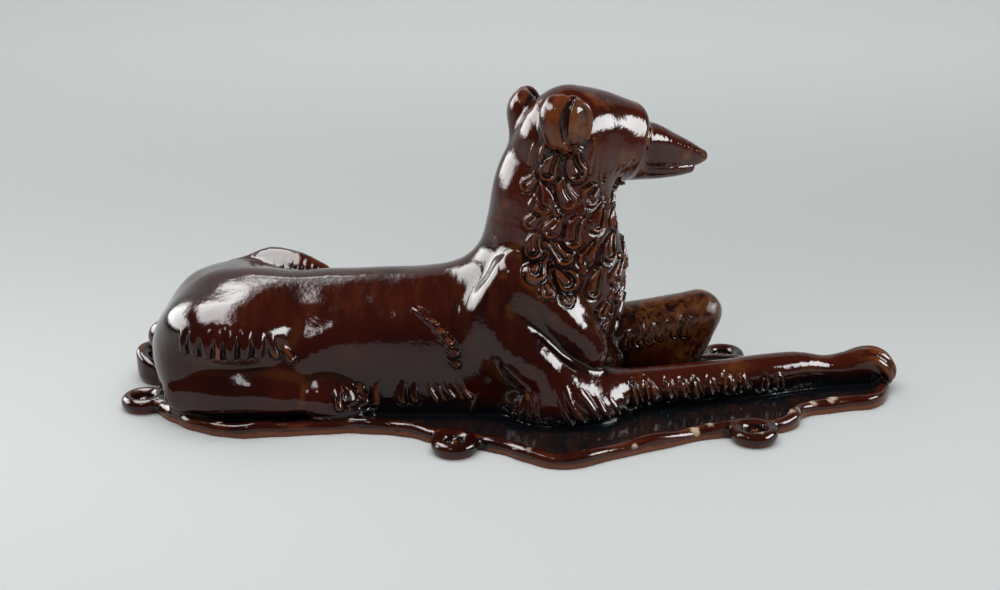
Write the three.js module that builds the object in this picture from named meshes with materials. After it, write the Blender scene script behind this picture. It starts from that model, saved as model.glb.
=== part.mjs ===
// A glazed earthenware dog that lies on its own shaped base, the two made as one piece.
// Millimetres, +Z up, +X the way the dog faces, +Y its left side, the origin under the middle of the base.
// The sculpture is one field of signed distances, blended from balls and limbs, with the coat as relief.
import * as THREE from "three";

// Driving sizes.
const BODY_MID_Y = 29; // the body's middle line
const FLOOR_Z = 5; // the base's sunk floor
const RIM_RADIUS = 4.8; // the rolled rim round that floor
const RIM_Z = 5.2;
const HEAD_AT = [53, 33, 197];
const HEAD_YAW = 29; // degrees, turned to the dog's left
const HEAD_PITCH = 10; // degrees, nose down
const HEAD_ROLL = -3; // degrees, its left side lower
const NECK_AT = [37, 32]; // the neck's middle in plan
const NECK_FLAT = 1.22; // how much narrower the neck is across than fore and aft
const CURL_SIZE = 7; // radius of a curl's round end
const CURL_LENGTH = 17; // from there to its tip
const CURL_RELIEF = 2.8;
const CURL_ROW = 15.8; // height between two rows of curls
const CURL_TURN = 21; // degrees between two curls of a row
const EAR_LOBE_Z = 178; // no curl lies on the ears, which hang down to here

// The mesh: the sampling step, the box that is sampled, and the triangles in the finished solid.
const STEP = 2.4;
const BLOCK = 6;
const LOW = [-300, -118, -5.2];
const HIGH = [306, 140, 246];
const TRIANGLES = 9800;

// No blend is wider than this, so a part farther off than this needs no exact distance.
const REACH = 28;

const rad = THREE.MathUtils.degToRad;
const { clamp, smoothstep } = THREE.MathUtils;
const length2 = (x, y) => Math.sqrt(x * x + y * y);
const length3 = (x, y, z) => Math.sqrt(x * x + y * y + z * z);

// Joins two distances with a fillet about as wide as k.
function blend(a, b, k) {
  const h = k - Math.abs(a - b);
  const least = a < b ? a : b;
  return h > 0 ? least - (h * h * 0.25) / k : least;
}

// Cuts b out of a, with a fillet about as wide as k.
const cut = (a, b, k) => -blend(-a, b, k);

// A repeatable number from 0 to 1 for place i of row j.
function scatter(i, j) {
  const s = Math.sin(i * 12.9898 + j * 78.233) * 43758.5453;
  return s - Math.floor(s);
}

// The field, or no more than a low guess at it where the point is out of reach of this ball.
function culled(field, [cx, cy, cz], radius) {
  return (x, y, z) => {
    const gap = length3(x - cx, y - cy, z - cz) - radius;
    return gap > REACH ? gap : field(x, y, z);
  };
}

// A field read in a frame at `at`, turned by yaw about Z, then pitch (nose down), then roll about X.
function turned(field, [ax, ay, az], yaw = 0, pitch = 0, roll = 0) {
  const turn = new THREE.Euler(rad(roll), rad(pitch), rad(yaw), "ZYX");
  const m = new THREE.Matrix4().makeRotationFromEuler(turn);
  const [ux, uy, uz, , vx, vy, vz, , wx, wy, wz] = m.elements;
  return (x, y, z) => {
    const a = x - ax;
    const b = y - ay;
    const c = z - az;
    return field(a * ux + b * uy + c * uz, a * vx + b * vy + c * vz, a * wx + b * wy + c * wz);
  };
}

// An ellipsoid.
function ball(at, [rx, ry, rz], yaw, pitch, roll) {
  const egg = (x, y, z) => {
    const k0 = length3(x / rx, y / ry, z / rz);
    const k1 = length3(x / (rx * rx), y / (ry * ry), z / (rz * rz)) + 1e-9;
    return (k0 * (k0 - 1)) / k1;
  };
  return culled(turned(egg, at, yaw, pitch, roll), at, Math.max(rx, ry, rz));
}

// A bar of oval section from x0 to x1, its end edges rounded by r.
function bar(x0, x1, wide, high, r) {
  return (x, y, z) => {
    const k = length2(y / wide, z / high);
    const side = (k * (k - 1)) / Math.max(length2(y / wide ** 2, z / high ** 2), 1e-6) + r;
    const end = Math.abs(x - (x0 + x1) / 2) - (x1 - x0) / 2 + r;
    return length2(Math.max(side, 0), Math.max(end, 0)) + Math.min(Math.max(side, end), 0) - r;
  };
}

// A smooth run of stations through the given ones, each a list of numbers.
function through(stations, steps, closed = false) {
  const n = stations.length;
  const station = (i) => (closed ? stations[(i + n) % n] : stations[clamp(i, 0, n - 1)]);
  const spans = closed ? n : n - 1;
  const run = [];
  for (let i = 0; i < spans; i++) {
    for (let j = 0; j < steps; j++) {
      const t = j / steps;
      const between = station(i).map((p1, k) => {
        const [p0, p2, p3] = [station(i - 1)[k], station(i + 1)[k], station(i + 2)[k]];
        const bend = (2 * p0 - 5 * p1 + 4 * p2 - p3) * t * t + (3 * p1 - p0 - 3 * p2 + p3) * t * t * t;
        return p1 + 0.5 * ((p2 - p0) * t + bend);
      });
      run.push(between);
    }
  }
  if (!closed) run.push(station(n - 1));
  return run;
}

// A straight piece whose radius runs from ra to rb.
function rod([ax, ay, az, ra], [bx, by, bz, rb]) {
  const [dx, dy, dz] = [bx - ax, by - ay, bz - az];
  const scale = 1 / (dx * dx + dy * dy + dz * dz + 1e-9);
  const swell = rb - ra;
  return (x, y, z) => {
    const px = x - ax;
    const py = y - ay;
    const pz = z - az;
    let t = (px * dx + py * dy + pz * dz) * scale;
    t = t < 0 ? 0 : t > 1 ? 1 : t;
    return length3(px - t * dx, py - t * dy, pz - t * dz) - ra - swell * t;
  };
}

// A limb that runs smoothly through stations of x, y, z and radius.
function limb(stations, steps = 4) {
  const run = through(stations, steps);
  const rods = run.slice(1).map((b, i) => rod(run[i], b));
  const box = new THREE.Box3().setFromPoints(run.map((s) => new THREE.Vector3(...s)));
  const centre = box.getCenter(new THREE.Vector3());
  const radius = Math.max(...run.map((s) => centre.distanceTo(new THREE.Vector3(...s)) + s[3]));
  const nearest = (x, y, z) => {
    let d = Infinity;
    for (let i = 0; i < rods.length; i++) {
      const here = rods[i](x, y, z);
      if (here < d) d = here;
    }
    return d;
  };
  return culled(nearest, centre.toArray(), radius);
}

// Several fields, blended one after the other.
function joined(k, ...fields) {
  return (x, y, z) => {
    let d = fields[0](x, y, z);
    for (let i = 1; i < fields.length; i++) d = blend(d, fields[i](x, y, z), k);
    return d;
  };
}

const nearSide = (station) => station;
const farSide = ([x, y, ...rest]) => [x, 2 * BODY_MID_Y - y, ...rest];

// The base's outline in plan where its foot meets the ground: along the near side, then back by the far side.
const OUTLINE = [
  [-247, 0], [-229, -21], [-213, -34], [-190, -43], [-160, -43], [-125, -38], [-91, -37], [-66, -42],
  [-48, -52], [-31, -58], [-12, -63], [4, -72], [20, -84], [38, -92], [58, -88], [80, -76],
  [114, -60], [145, -46], [170, -42], [192, -38], [209, -27], [216, -13], [228, -5], [252, 0],
  [270, 6], [282, 20], [288, 42], [282, 62], [262, 76], [235, 82], [200, 80], [150, 84],
  [110, 90], [60, 99], [10, 103], [-50, 99], [-110, 95], [-170, 99], [-213, 97], [-240, 84],
  [-252, 58], [-250, 28],
];

// The round lugs: x, y, radius, and how steeply the dish rises outwards.
const LUGS = [
  [-257, 9, 16.5, 0], [-31, -63, 16.5, 0], [176, -46, 16.5, 0],
  [170, 90, 17, 0], [-40, 104, 16.5, 0], [-251, 64, 21, 0.35],
];

// Signed distance to the outline in plan, worked out once on a square grid and read back between its points.
function outlineDistance() {
  const line = through(OUTLINE, 4, true);
  const [x0, y0, pitch, nx, ny] = [-300, -122, 2, 305, 134];
  const table = new Float64Array(nx * ny);
  for (let i = 0; i < nx; i++) {
    for (let j = 0; j < ny; j++) {
      const x = x0 + i * pitch;
      const y = y0 + j * pitch;
      let nearest = Infinity;
      let inside = false;
      line.forEach(([ax, ay], k) => {
        const [bx, by] = line[(k + 1) % line.length];
        const [ex, ey] = [bx - ax, by - ay];
        const t = clamp(((x - ax) * ex + (y - ay) * ey) / (ex * ex + ey * ey), 0, 1);
        nearest = Math.min(nearest, length2(x - ax - t * ex, y - ay - t * ey));
        if (ay > y !== by > y && x < ax + ((y - ay) * ex) / ey) inside = !inside;
      });
      table[i * ny + j] = inside ? -nearest : nearest;
    }
  }
  return (x, y) => {
    const u = clamp((x - x0) / pitch, 0, nx - 1.001);
    const v = clamp((y - y0) / pitch, 0, ny - 1.001);
    const i = Math.floor(u);
    const j = Math.floor(v);
    const here = i * ny + j;
    const low = table[here] + (table[here + 1] - table[here]) * (v - j);
    const high = table[here + ny] + (table[here + ny + 1] - table[here + ny]) * (v - j);
    return low + (high - low) * (u - i);
  };
}

// A lug is a dished disc with a rolled edge and a bead in its middle.
function lug([cx, cy, radius, rise]) {
  const roll = 4.8;
  const away = length2(cx, cy);
  const field = (x, y, z) => {
    const out = ((x - cx) * cx + (y - cy) * cy) / away;
    const lift = rise * clamp(out + radius, 0, 3 * radius);
    const q = length2(x - cx, y - cy);
    const above = z - 5.8;
    const edge = length2(q - radius + roll, above > lift ? above - lift : Math.min(above, 0)) - roll;
    const dish = Math.max(q - radius + 2.5, z - 4 - lift);
    const bead = length2(q, z - 3.4 - lift) - 4.4;
    return blend(blend(edge, dish, 2.5), bead, 1.5);
  };
  return culled(field, [cx, cy, 5], radius + 8);
}

function base() {
  const plan = outlineDistance();
  const lugs = LUGS.map(lug);
  return (x, y, z) => {
    const s = plan(x, y);
    const roll = length2(s + RIM_RADIUS, Math.max(z - RIM_Z, 0)) - RIM_RADIUS;
    const floor = Math.max(s + RIM_RADIUS, z - FLOOR_Z);
    let d = blend(roll, floor, 5);
    for (const l of lugs) d = blend(d, l(x, y, z), 4);
    return d;
  };
}

function torso() {
  const rump = ball([-187, 27, 42], [63, 54, 50]);
  const back = limb([
    [-190, 28, 50, 44], [-125, 28, 53, 44], [-60, 29, 54, 45], [0, 30, 57, 47], [35, 30, 62, 46],
  ]);
  const belly = limb([[-185, 28, 20, 46], [-120, 30, 18, 47], [-60, 30, 18, 48], [-5, 30, 22, 49]]);
  const foldOfFlank = limb([[-148, -8, 42, 13], [-132, -7, 52, 12], [-118, -4, 58, 9]]);
  return joined(18, rump, back, belly, foldOfFlank);
}

function neck() {
  const column = limb([
    [18, 32, 80, 44], [31, 32, 108, 46], [36, 32, 135, 45],
    [37, 32, 160, 41], [40, 32, 180, 35], [43, 33, 193, 29],
  ]);
  return (x, y, z) => 0.92 * column(x, NECK_AT[1] + (y - NECK_AT[1]) * NECK_FLAT, z);
}

// The shoulder blade, the upper arm, and the muscle that runs from the neck's side to the point of the elbow.
function shoulder(side) {
  const blade = ball(side([4, -6, 76]), [26, 17, 38], 0, 14);
  const upperArm = limb([[4, -8, 66, 18], [16, -15, 54, 20], [32, -18, 38, 19], [46, -19, 22, 19]].map(side));
  const elbow = ball(side([46, -16, 14]), [42, 23, 19]);
  const muscle = limb([[8, -2, 108, 13], [28, -7, 92, 14], [46, -9, 72, 15], [62, -6, 50, 15]].map(side));
  return joined(8, blade, upperArm, elbow, muscle);
}

// The thigh overhangs the folded shank, with a groove under its skirt; the paw lies in front of both.
function hindQuarter(side) {
  const thigh = ball(side([-186, 1, 67]), [47, 38, 25], 0, 4);
  const buttock = ball(side([-219, 8, 42]), [27, 33, 38]);
  const shank = limb(
    [[-220, -10, 23, 19], [-200, -17, 25, 20], [-174, -20, 25, 19], [-150, -19, 23, 17]].map(side),
  );
  const paw = limb(
    [[-140, -16, 18, 13], [-126, -19, 20, 16], [-110, -20, 16, 13], [-99, -19, 12, 9]].map(side),
  );
  const groove = limb([
    [-216, -32, 49, 2.5], [-204, -40, 49.5, 4.2], [-186, -43, 50, 4.8], [-168, -41, 49, 4.2],
    [-154, -35, 48, 2.5],
  ].map(side));
  const upper = joined(12, thigh, buttock);
  return (x, y, z) => {
    const d = cut(blend(upper(x, y, z), shank(x, y, z), 3), groove(x, y, z), 5);
    return blend(d, paw(x, y, z), 5);
  };
}

// The near foreleg lies straight out to its paw, which hangs a little over the rim.
const NEAR_LEG = [
  [42, -16, 26, 20], [70, -8, 21, 17], [100, 2, 18.5, 14], [144, 13, 19, 13.5], [186, 23, 21, 13],
  [215, 32, 21.5, 11.5], [238, 38, 18, 9.5], [255, 41, 18.5, 10], [268, 42, 20.5, 11], [278, 43, 18, 9.5],
];

// A web of clay closes the gap between that leg and the floor of the base.
const UNDER_LEG = [
  [165, 18, 8, 7], [186, 23, 8, 8], [215, 32, 8, 7.5], [238, 38, 7.5, 7], [255, 41, 8, 7.5],
  [270, 42.5, 8, 7.5], [279, 43, 8, 6],
];

// The far foreleg is folded: its wrist is up, and its paw is tucked back under the forearm.
function farLeg() {
  const forearm = limb([[45, 56, 34, 26], [75, 58, 38, 22], [110, 61, 43, 19], [147, 63, 53, 16]]);
  const pastern = limb([[149, 63, 52, 14], [143, 62, 32, 13], [132, 60, 18, 12], [100, 57, 14, 11]]);
  return joined(7, forearm, pastern, ball([92, 60, 27], [52, 18, 25]));
}

// The tail curls forward over the far haunch.
const TAIL = [
  [-246, 46, 40, 12], [-246, 70, 34, 13], [-230, 86, 46, 14], [-206, 87, 64, 16],
  [-188, 82, 74, 14], [-170, 80, 79, 16], [-148, 72, 82, 12], [-130, 66, 82, 6],
];

function tail() {
  const locks = through(TAIL.slice(2), 3);
  const ridges = [0.15, 0.62, 1].map((lift) => {
    const side = Math.sqrt(1 - lift * lift);
    return limb(locks.map(([x, y, z, r]) => [x, y + 0.72 * r * side, z + 0.72 * r * lift, 0.42 * r]), 1);
  });
  return joined(2.5, limb(TAIL), ball([-232, 66, 12], [24, 26, 16]), ...ridges);
}

// An ear hangs by the skull's side: a back, two folds, and the flap in front of them.
function ear() {
  const back = ball([-32, -20, 11], [11, 10, 18], 0, -12);
  const rim = limb([
    [-33.5, -22, 25, 2.6], [-37.5, -22.5, 16, 3.4], [-37, -23, 7, 3.8], [-33, -24, -2, 3.6],
    [-26, -26, -7, 2.8],
  ]);
  const fold = limb([
    [-31.5, -26.5, 27.5, 2.8], [-36, -27.5, 20, 3.6], [-36.5, -28, 11, 4], [-32.5, -28.5, 2, 4],
    [-25, -29.5, -4, 3.6],
  ]);
  const flap = ball([-23.5, -29.5, 13], [11.2, 8.6, 18], 0, -12);
  return (x, y, z) => {
    const behind = blend(blend(back(x, y, z), rim(x, y, z), 5), fold(x, y, z), 4.5);
    return blend(behind, flap(x, y, z), 2.4);
  };
}

// In the head's own frame: +X to the nose, +Y its left, and the middle of the skull at the origin.
function head() {
  const skull = ball([-4, 0, -1], [40, 29, 33]);
  const face = turned(bar(-15, 47.5, 23.4, 27, 6), [0, 0, 0], 0, 4);
  const forehead = limb([[-8, 0, 14, 19], [18, 0, 12.5, 18.5], [38, 0, 6.5, 18]]);
  const jaw = limb([[-2, 0, -16, 22], [26, 0, -17, 16], [45, 0, -19, 12]]);
  const cheeks = limb([[0, -8, -10, 19], [22, -9, -12, 15], [36, -8, -14, 11]]);
  const muzzle = limb([
    [44, 0, -8, 20], [62, 0, -7.5, 18.5], [78, 0, -9, 14.8], [94, 0, -10.5, 10.8], [106, 0, -11.5, 7.3],
    [111.5, 0, -11.3, 5.2],
  ]);
  const chin = limb([
    [48, 0, -20.5, 11], [60, 0, -21.6, 9], [74, 0, -21.8, 7.8], [88, 0, -20.9, 6.4], [100, 0, -19.4, 5],
  ]);
  const socket = ball([50.5, -16.5, 2.5], [4.5, 6.5, 6.5]);
  const eye = ball([45.6, -14.8, 2], [5.4, 5.2, 5.2]);
  const bulk = joined(7, skull, face, forehead, jaw, cheeks);
  const earOfSide = ear();
  const field = (x, y, z) => {
    const half = -Math.abs(y);
    let d = bulk(x, half, z);
    d = blend(d, 0.8 * muzzle(x, y * (1.5 - 0.2 * smoothstep(z, -12, 3)), z), 4);
    d = blend(d, chin(x, y * 0.9, z), 0.6);
    d = blend(d, earOfSide(x, half, y > 0 ? z + 3 : z), 4);
    d = cut(d, socket(x, half, z), 1.5);
    return blend(d, eye(x, half, z), 0.4);
  };
  return culled(turned(field, HEAD_AT, HEAD_YAW, HEAD_PITCH, HEAD_ROLL), HEAD_AT, 120);
}

// How far ahead of the skull's middle a point lies.
const aheadInHead = turned((x) => x, HEAD_AT, HEAD_YAW, HEAD_PITCH, HEAD_ROLL);

// The smooth form, before the coat is laid on it. Each part comes with the width of its fillet.
const FORM = [
  [torso(), 1],
  [neck(), 20],
  [shoulder(nearSide), 9],
  [shoulder(farSide), 9],
  [ball([50, 32, 92], [40, 36, 50]), 14],
  [ball([50, 29, 22], [38, 42, 26]), 10],
  [hindQuarter(nearSide), 8],
  [hindQuarter(farSide), 8],
  [joined(6, limb(NEAR_LEG), limb(UNDER_LEG)), 9],
  [farLeg(), 8],
  [tail(), 4],
  [head(), 10],
  [base(), 3],
];

function form(x, y, z) {
  let d = FORM[0][0](x, y, z);
  for (let i = 1; i < FORM.length; i++) d = blend(d, FORM[i][0](x, y, z), FORM[i][1]);
  return d;
}

// The way out of a field at a point.
function outward(field, { x, y, z }, h = 0.5) {
  const n = new THREE.Vector3(
    field(x + h, y, z) - field(x - h, y, z),
    field(x, y + h, z) - field(x, y - h, z),
    field(x, y, z + h) - field(x, y, z - h),
  );
  return n.normalize();
}

// The point of a field's surface nearest to p.
function settled(field, p, turns = 5) {
  const q = p.clone();
  for (let i = 0; i < turns; i++) q.addScaledVector(outward(field, q), -field(q.x, q.y, q.z));
  return q;
}

// A lock of hair: a drop with its round end at `at` and its tip at the other end of `length`, towards `root`.
function lock(at, root, size, length, relief, bend, taper) {
  const n = outward(form, at);
  const up = root.clone().addScaledVector(n, -root.dot(n)).normalize();
  const across = new THREE.Vector3().crossVectors(up, n);
  return { at, n, up, across, size, length, relief, bend, taper, reach: length + 1.6 * size };
}

const bump = (t) => Math.exp(-t * t);

// The height that the locks add at a point over the height below it; later locks lie over earlier ones.
function coat(locks, x, y, z) {
  let h = 0;
  for (const l of locks) {
    const px = x - l.at.x;
    const py = y - l.at.y;
    const pz = z - l.at.z;
    if (px * px + py * py + pz * pz > l.reach * l.reach) continue;
    if (Math.abs(px * l.n.x + py * l.n.y + pz * l.n.z) > 1.6 * l.size + 0.25 * l.length) continue;
    const v = px * l.up.x + py * l.up.y + pz * l.up.z;
    const t = clamp(v / l.length, 0, 1);
    const u = px * l.across.x + py * l.across.y + pz * l.across.z - l.bend * l.length * t * t;
    const s = length2(u, v - t * l.length) / (l.size * (1 - l.taper * t));
    if (s > 1.45) continue;
    const height = 1.1 * Math.max(1 - s * s, 0) - 0.45 * bump((s - 1.18) / 0.18);
    const over = 1 - smoothstep(s, 1.15, 1.45);
    h += (l.relief * height * (1 - 0.45 * t) - h) * over;
  }
  return h;
}

// Curls cover the sides and the front of the neck in staggered rows, the lowest row first.
function neckCurls() {
  const locks = [];
  const upright = new THREE.Vector3(0, 0, 1);
  for (let row = 0; row < 9; row++) {
    const height = 68 + row * CURL_ROW;
    const spread = clamp(34 + (height - 66) * 1.75, 34, 132); // degrees to each side of the breast
    for (let i = -6; i <= 6; i++) {
      const turn = (i + (row % 2 ? 0.5 : 0)) * CURL_TURN + 6 * (scatter(i, row) - 0.5);
      if (Math.abs(turn) > spread) continue;
      const z = height + 6 * (scatter(row, i) - 0.5);
      const way = new THREE.Vector3(Math.cos(rad(turn)), Math.sin(rad(turn)), 0);
      const out = new THREE.Vector3(...NECK_AT, z).addScaledVector(way, 60);
      for (let k = 0; k < 20; k++) out.addScaledVector(way, -0.8 * form(out.x, out.y, out.z));
      if (aheadInHead(out.x, out.y, out.z) > 4 && out.z > 150) continue;
      if (z > EAR_LOBE_Z && Math.abs(turn) > 52) continue;
      const lean = new THREE.Vector3(-way.y, way.x, 0).multiplyScalar(0.9 * (scatter(i + 7, row) - 0.5));
      const size = CURL_SIZE * (0.85 + 0.3 * scatter(i + 3, row + 5));
      const long = CURL_LENGTH * (0.85 + 0.4 * scatter(row + 2, i + 1));
      const bend = 0.9 * (scatter(i + 11, row) - 0.5);
      locks.push(lock(out, lean.add(upright), size, long, CURL_RELIEF, bend, 0.8));
    }
  }
  return locks;
}

// A row of locks that hang from one line to another, with their round ends on the second.
function fringe(roots, tips, count, size, relief) {
  const from = through(roots, 8);
  const to = through(tips, 8);
  const read = (run, f) => {
    const g = f * (run.length - 1);
    const i = Math.min(Math.floor(g), run.length - 2);
    return new THREE.Vector3(...run[i]).lerp(new THREE.Vector3(...run[i + 1]), g - i);
  };
  const locks = [];
  for (let i = 0; i < count; i++) {
    const f = (i + 0.3 * scatter(i, count)) / (count - 0.7);
    const at = settled(form, read(to, f));
    const root = settled(form, read(from, f));
    const up = root.clone().sub(at);
    const wide = size * (0.85 + 0.3 * scatter(i, 4));
    const high = relief * (0.8 + 0.4 * scatter(i, 6));
    locks.push(lock(at, up, wide, up.length(), high, 0.3 * scatter(i, 8) - 0.1, 0.5));
  }
  return locks;
}

// The fringes of one side: thigh, belly, the strokes behind the elbow, the elbow, and a tuft on the flank.
function fringes(side) {
  const run = (stations) => stations.map(side);
  return [
    ...fringe(
      run([[-219, -24, 76], [-201, -30, 82], [-183, -30, 84], [-165, -28, 76], [-152, -25, 63]]),
      run([[-220, -29, 60], [-202, -35, 59], [-184, -37, 59], [-165, -33, 58], [-145, -27, 52]]),
      9, 5, 3.4,
    ),
    ...fringe(
      run([[-116, -22, 34], [-90, -22, 34], [-58, -22, 34]]),
      run([[-116, -23, 18], [-90, -23, 17], [-58, -23, 18]]),
      6, 4.6, 3.6,
    ),
    ...fringe(
      run([[-54, -24, 33], [-42, -23, 36], [-28, -22, 34]]),
      run([[-44, -26, 17], [-33, -26, 19], [-20, -25, 20]]),
      5, 3, 1.8,
    ),
    ...fringe(
      run([[-8, -26, 30], [12, -32, 38], [26, -37, 42], [38, -38, 45], [50, -34, 45], [62, -28, 40]]),
      run([[-12, -30, 10], [4, -37, 9], [24, -44, 9], [48, -46, 9], [74, -40, 9], [94, -24, 9]]),
      14, 3.9, 2.6,
    ),
    ...fringe(
      run([[-62, -7, 84], [-49, -14, 73], [-38, -20, 51]]),
      run([[-54, -10, 79], [-40, -15, 67], [-30, -20, 45]]),
      6, 3.6, 2.6,
    ),
  ];
}

// Curls hang along the near foreleg, and a few lie on the folded one.
function legCurls() {
  return [
    ...fringe(
      [[92, -12, 25], [120, -4, 24], [146, 1, 23], [172, 7, 22], [204, 15, 20]],
      [[96, -14, 13], [123, -7, 13], [149, -2, 13], [175, 4, 13], [205, 13, 13]],
      10, 5.4, 2.6,
    ),
    ...fringe(
      [[112, 44, 50], [126, 46, 53], [138, 49, 50]],
      [[108, 43, 38], [122, 45, 41], [136, 48, 36]],
      4, 4, 1.3,
    ),
  ];
}

// Four ridges run over the front of the near paw; the two outer ones lie lower and end sooner.
function toes() {
  const middle = [
    [257, 26.4, 2.2], [266, 28.8, 3.1], [275, 28.8, 3.5], [283, 24.6, 3.8], [288.5, 17, 3.7], [289, 11, 3.2],
  ];
  const outer = [
    [259, 23, 2.2], [266, 25.2, 3.1], [274, 25.2, 3.4], [281, 21, 3.6], [285.5, 15, 3.4], [286, 10.5, 3],
  ];
  const rows = [[34.4, outer], [40, middle], [45.6, middle], [51.2, outer]];
  return rows.map(([y, row]) => limb(row.map(([x, z, r]) => [x, y, z, r])));
}

const HAIR = [...neckCurls(), ...fringes(nearSide), ...fringes(farSide), ...legCurls()];
const TOES = toes();

function surface(x, y, z) {
  let d = form(x, y, z);
  if (Math.abs(d) < 9) {
    if (z > FLOOR_Z + 1) d -= coat(HAIR, x, y, z) * smoothstep(z, FLOOR_Z + 1, FLOOR_Z + 4);
    if (x > 250) for (const toe of TOES) d = blend(d, toe(x, y, z), 1.2);
  }
  return Math.max(d, -z);
}

// Samples the field on a grid: exactly near the surface, and by sign alone elsewhere.
function sampled(field) {
  const blocks = LOW.map((low, k) => Math.ceil((HIGH[k] - low) / STEP / BLOCK));
  const size = blocks.map((b) => b * BLOCK + 1);
  const values = new Float32Array(size[0] * size[1] * size[2]);
  const half = (BLOCK * STEP * Math.sqrt(3)) / 2;
  for (let bi = 0; bi < blocks[0]; bi++) {
    for (let bj = 0; bj < blocks[1]; bj++) {
      for (let bk = 0; bk < blocks[2]; bk++) {
        const first = [bi * BLOCK, bj * BLOCK, bk * BLOCK];
        const middle = first.map((f, k) => LOW[k] + (f + BLOCK / 2) * STEP);
        const centre = field(...middle);
        const exact = Math.abs(centre) < half * 1.5;
        for (let i = first[0]; i <= first[0] + BLOCK; i++) {
          for (let j = first[1]; j <= first[1] + BLOCK; j++) {
            for (let k = first[2]; k <= first[2] + BLOCK; k++) {
              const at = (i * size[1] + j) * size[2] + k;
              if (exact) values[at] = field(LOW[0] + i * STEP, LOW[1] + j * STEP, LOW[2] + k * STEP);
              else if (values[at] === 0) values[at] = Math.sign(centre) * 100;
            }
          }
        }
      }
    }
  }
  return { values, size };
}

const CORNERS = [0, 1, 2, 3, 4, 5, 6, 7].map((c) => [c & 1, (c >> 1) & 1, (c >> 2) & 1]);

// Whether the corners of a cell in `set` hang together along its edges.
function hangsTogether(set) {
  const start = CORNERS.findIndex((_, c) => set & (1 << c));
  let reached = start < 0 ? 0 : 1 << start;
  for (let pass = 0; pass < 4; pass++) {
    for (let c = 0; c < 8; c++) {
      const beside = (1 << (c ^ 1)) | (1 << (c ^ 2)) | (1 << (c ^ 4));
      if (set & (1 << c) && reached & beside) reached |= 1 << c;
    }
  }
  return reached === set;
}

// Whether one sheet alone runs through a cell and each of its sides, with the corners in `inside` in.
function isSimple(inside) {
  if (!hangsTogether(inside) || !hangsTogether(255 - inside)) return false;
  for (const [a, b] of [[1, 2], [1, 4], [2, 4]]) {
    for (const c of [0, 7 - a - b]) {
      const [p, q, r, s] = [c, c | a, c | b, c | a | b].map((n) => (inside >> n) & 1);
      if (p === s && q === r && p !== q) return false;
    }
  }
  return true;
}

// Fills the odd corner where two sheets of the surface would meet in one cell.
function untangled(grid) {
  const { values, size: [nx, ny, nz] } = grid;
  const steps = CORNERS.map(([a, b, c]) => (a * ny + b) * nz + c);
  const simple = Array.from({ length: 256 }, (_, inside) => isSimple(inside));
  for (let filled = 1; filled > 0; ) {
    filled = 0;
    for (let here = 0; here < values.length - steps[7]; here++) {
      const k = here % nz;
      const j = Math.floor(here / nz) % ny;
      if (k === nz - 1 || j === ny - 1) continue;
      let inside = 0;
      for (let c = 0; c < 8; c++) if (values[here + steps[c]] < 0) inside |= 1 << c;
      if (simple[inside]) continue;
      const outside = steps.filter((step) => values[here + step] >= 0);
      const least = outside.reduce((a, b) => (values[here + a] < values[here + b] ? a : b));
      values[here + least] = -0.1 * STEP;
      filled++;
    }
  }
  return grid;
}

// Draws the zero surface of a sampled field, with one vertex in each cell that it crosses.
function netted({ values, size: [nx, ny, nz] }) {
  const at = (i, j, k) => (i * ny + j) * nz + k;
  const steps = CORNERS.map(([a, b, c]) => at(a, b, c));
  const edges = [];
  for (let a = 0; a < 8; a++) {
    for (const bit of [1, 2, 4]) if (!(a & bit)) edges.push([a, a | bit]);
  }
  const vertexOf = new Int32Array(nx * ny * nz).fill(-1);
  const points = [];
  for (let i = 0; i < nx - 1; i++) {
    for (let j = 0; j < ny - 1; j++) {
      for (let k = 0; k < nz - 1; k++) {
        const here = at(i, j, k);
        let inside = 0;
        for (const step of steps) inside += values[here + step] < 0 ? 1 : 0;
        if (inside === 0 || inside === 8) continue;
        const sum = new THREE.Vector3();
        let crossings = 0;
        for (const [a, b] of edges) {
          const va = values[here + steps[a]];
          const vb = values[here + steps[b]];
          if (va < 0 === vb < 0) continue;
          const t = va / (va - vb);
          sum.x += CORNERS[a][0] + t * (CORNERS[b][0] - CORNERS[a][0]);
          sum.y += CORNERS[a][1] + t * (CORNERS[b][1] - CORNERS[a][1]);
          sum.z += CORNERS[a][2] + t * (CORNERS[b][2] - CORNERS[a][2]);
          crossings++;
        }
        vertexOf[here] = points.length;
        sum.divideScalar(crossings).add(new THREE.Vector3(i, j, k));
        points.push(sum.multiplyScalar(STEP).add(new THREE.Vector3(...LOW)));
      }
    }
  }
  const faces = [];
  const quad = (a, b, c, d, flip) => {
    if (flip) faces.push([a, b, c], [a, c, d]);
    else faces.push([c, b, a], [d, c, a]);
  };
  for (let i = 1; i < nx - 1; i++) {
    for (let j = 1; j < ny - 1; j++) {
      for (let k = 1; k < nz - 1; k++) {
        const inside = values[at(i, j, k)] < 0;
        const cell = (a, b, c) => vertexOf[at(i - a, j - b, k - c)];
        if (inside !== values[at(i + 1, j, k)] < 0) {
          quad(cell(0, 1, 1), cell(0, 0, 1), cell(0, 0, 0), cell(0, 1, 0), inside);
        }
        if (inside !== values[at(i, j + 1, k)] < 0) {
          quad(cell(1, 0, 1), cell(1, 0, 0), cell(0, 0, 0), cell(0, 0, 1), inside);
        }
        if (inside !== values[at(i, j, k + 1)] < 0) {
          quad(cell(1, 1, 0), cell(0, 1, 0), cell(0, 0, 0), cell(1, 0, 0), inside);
        }
      }
    }
  }
  return largest({ points, faces });
}

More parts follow.
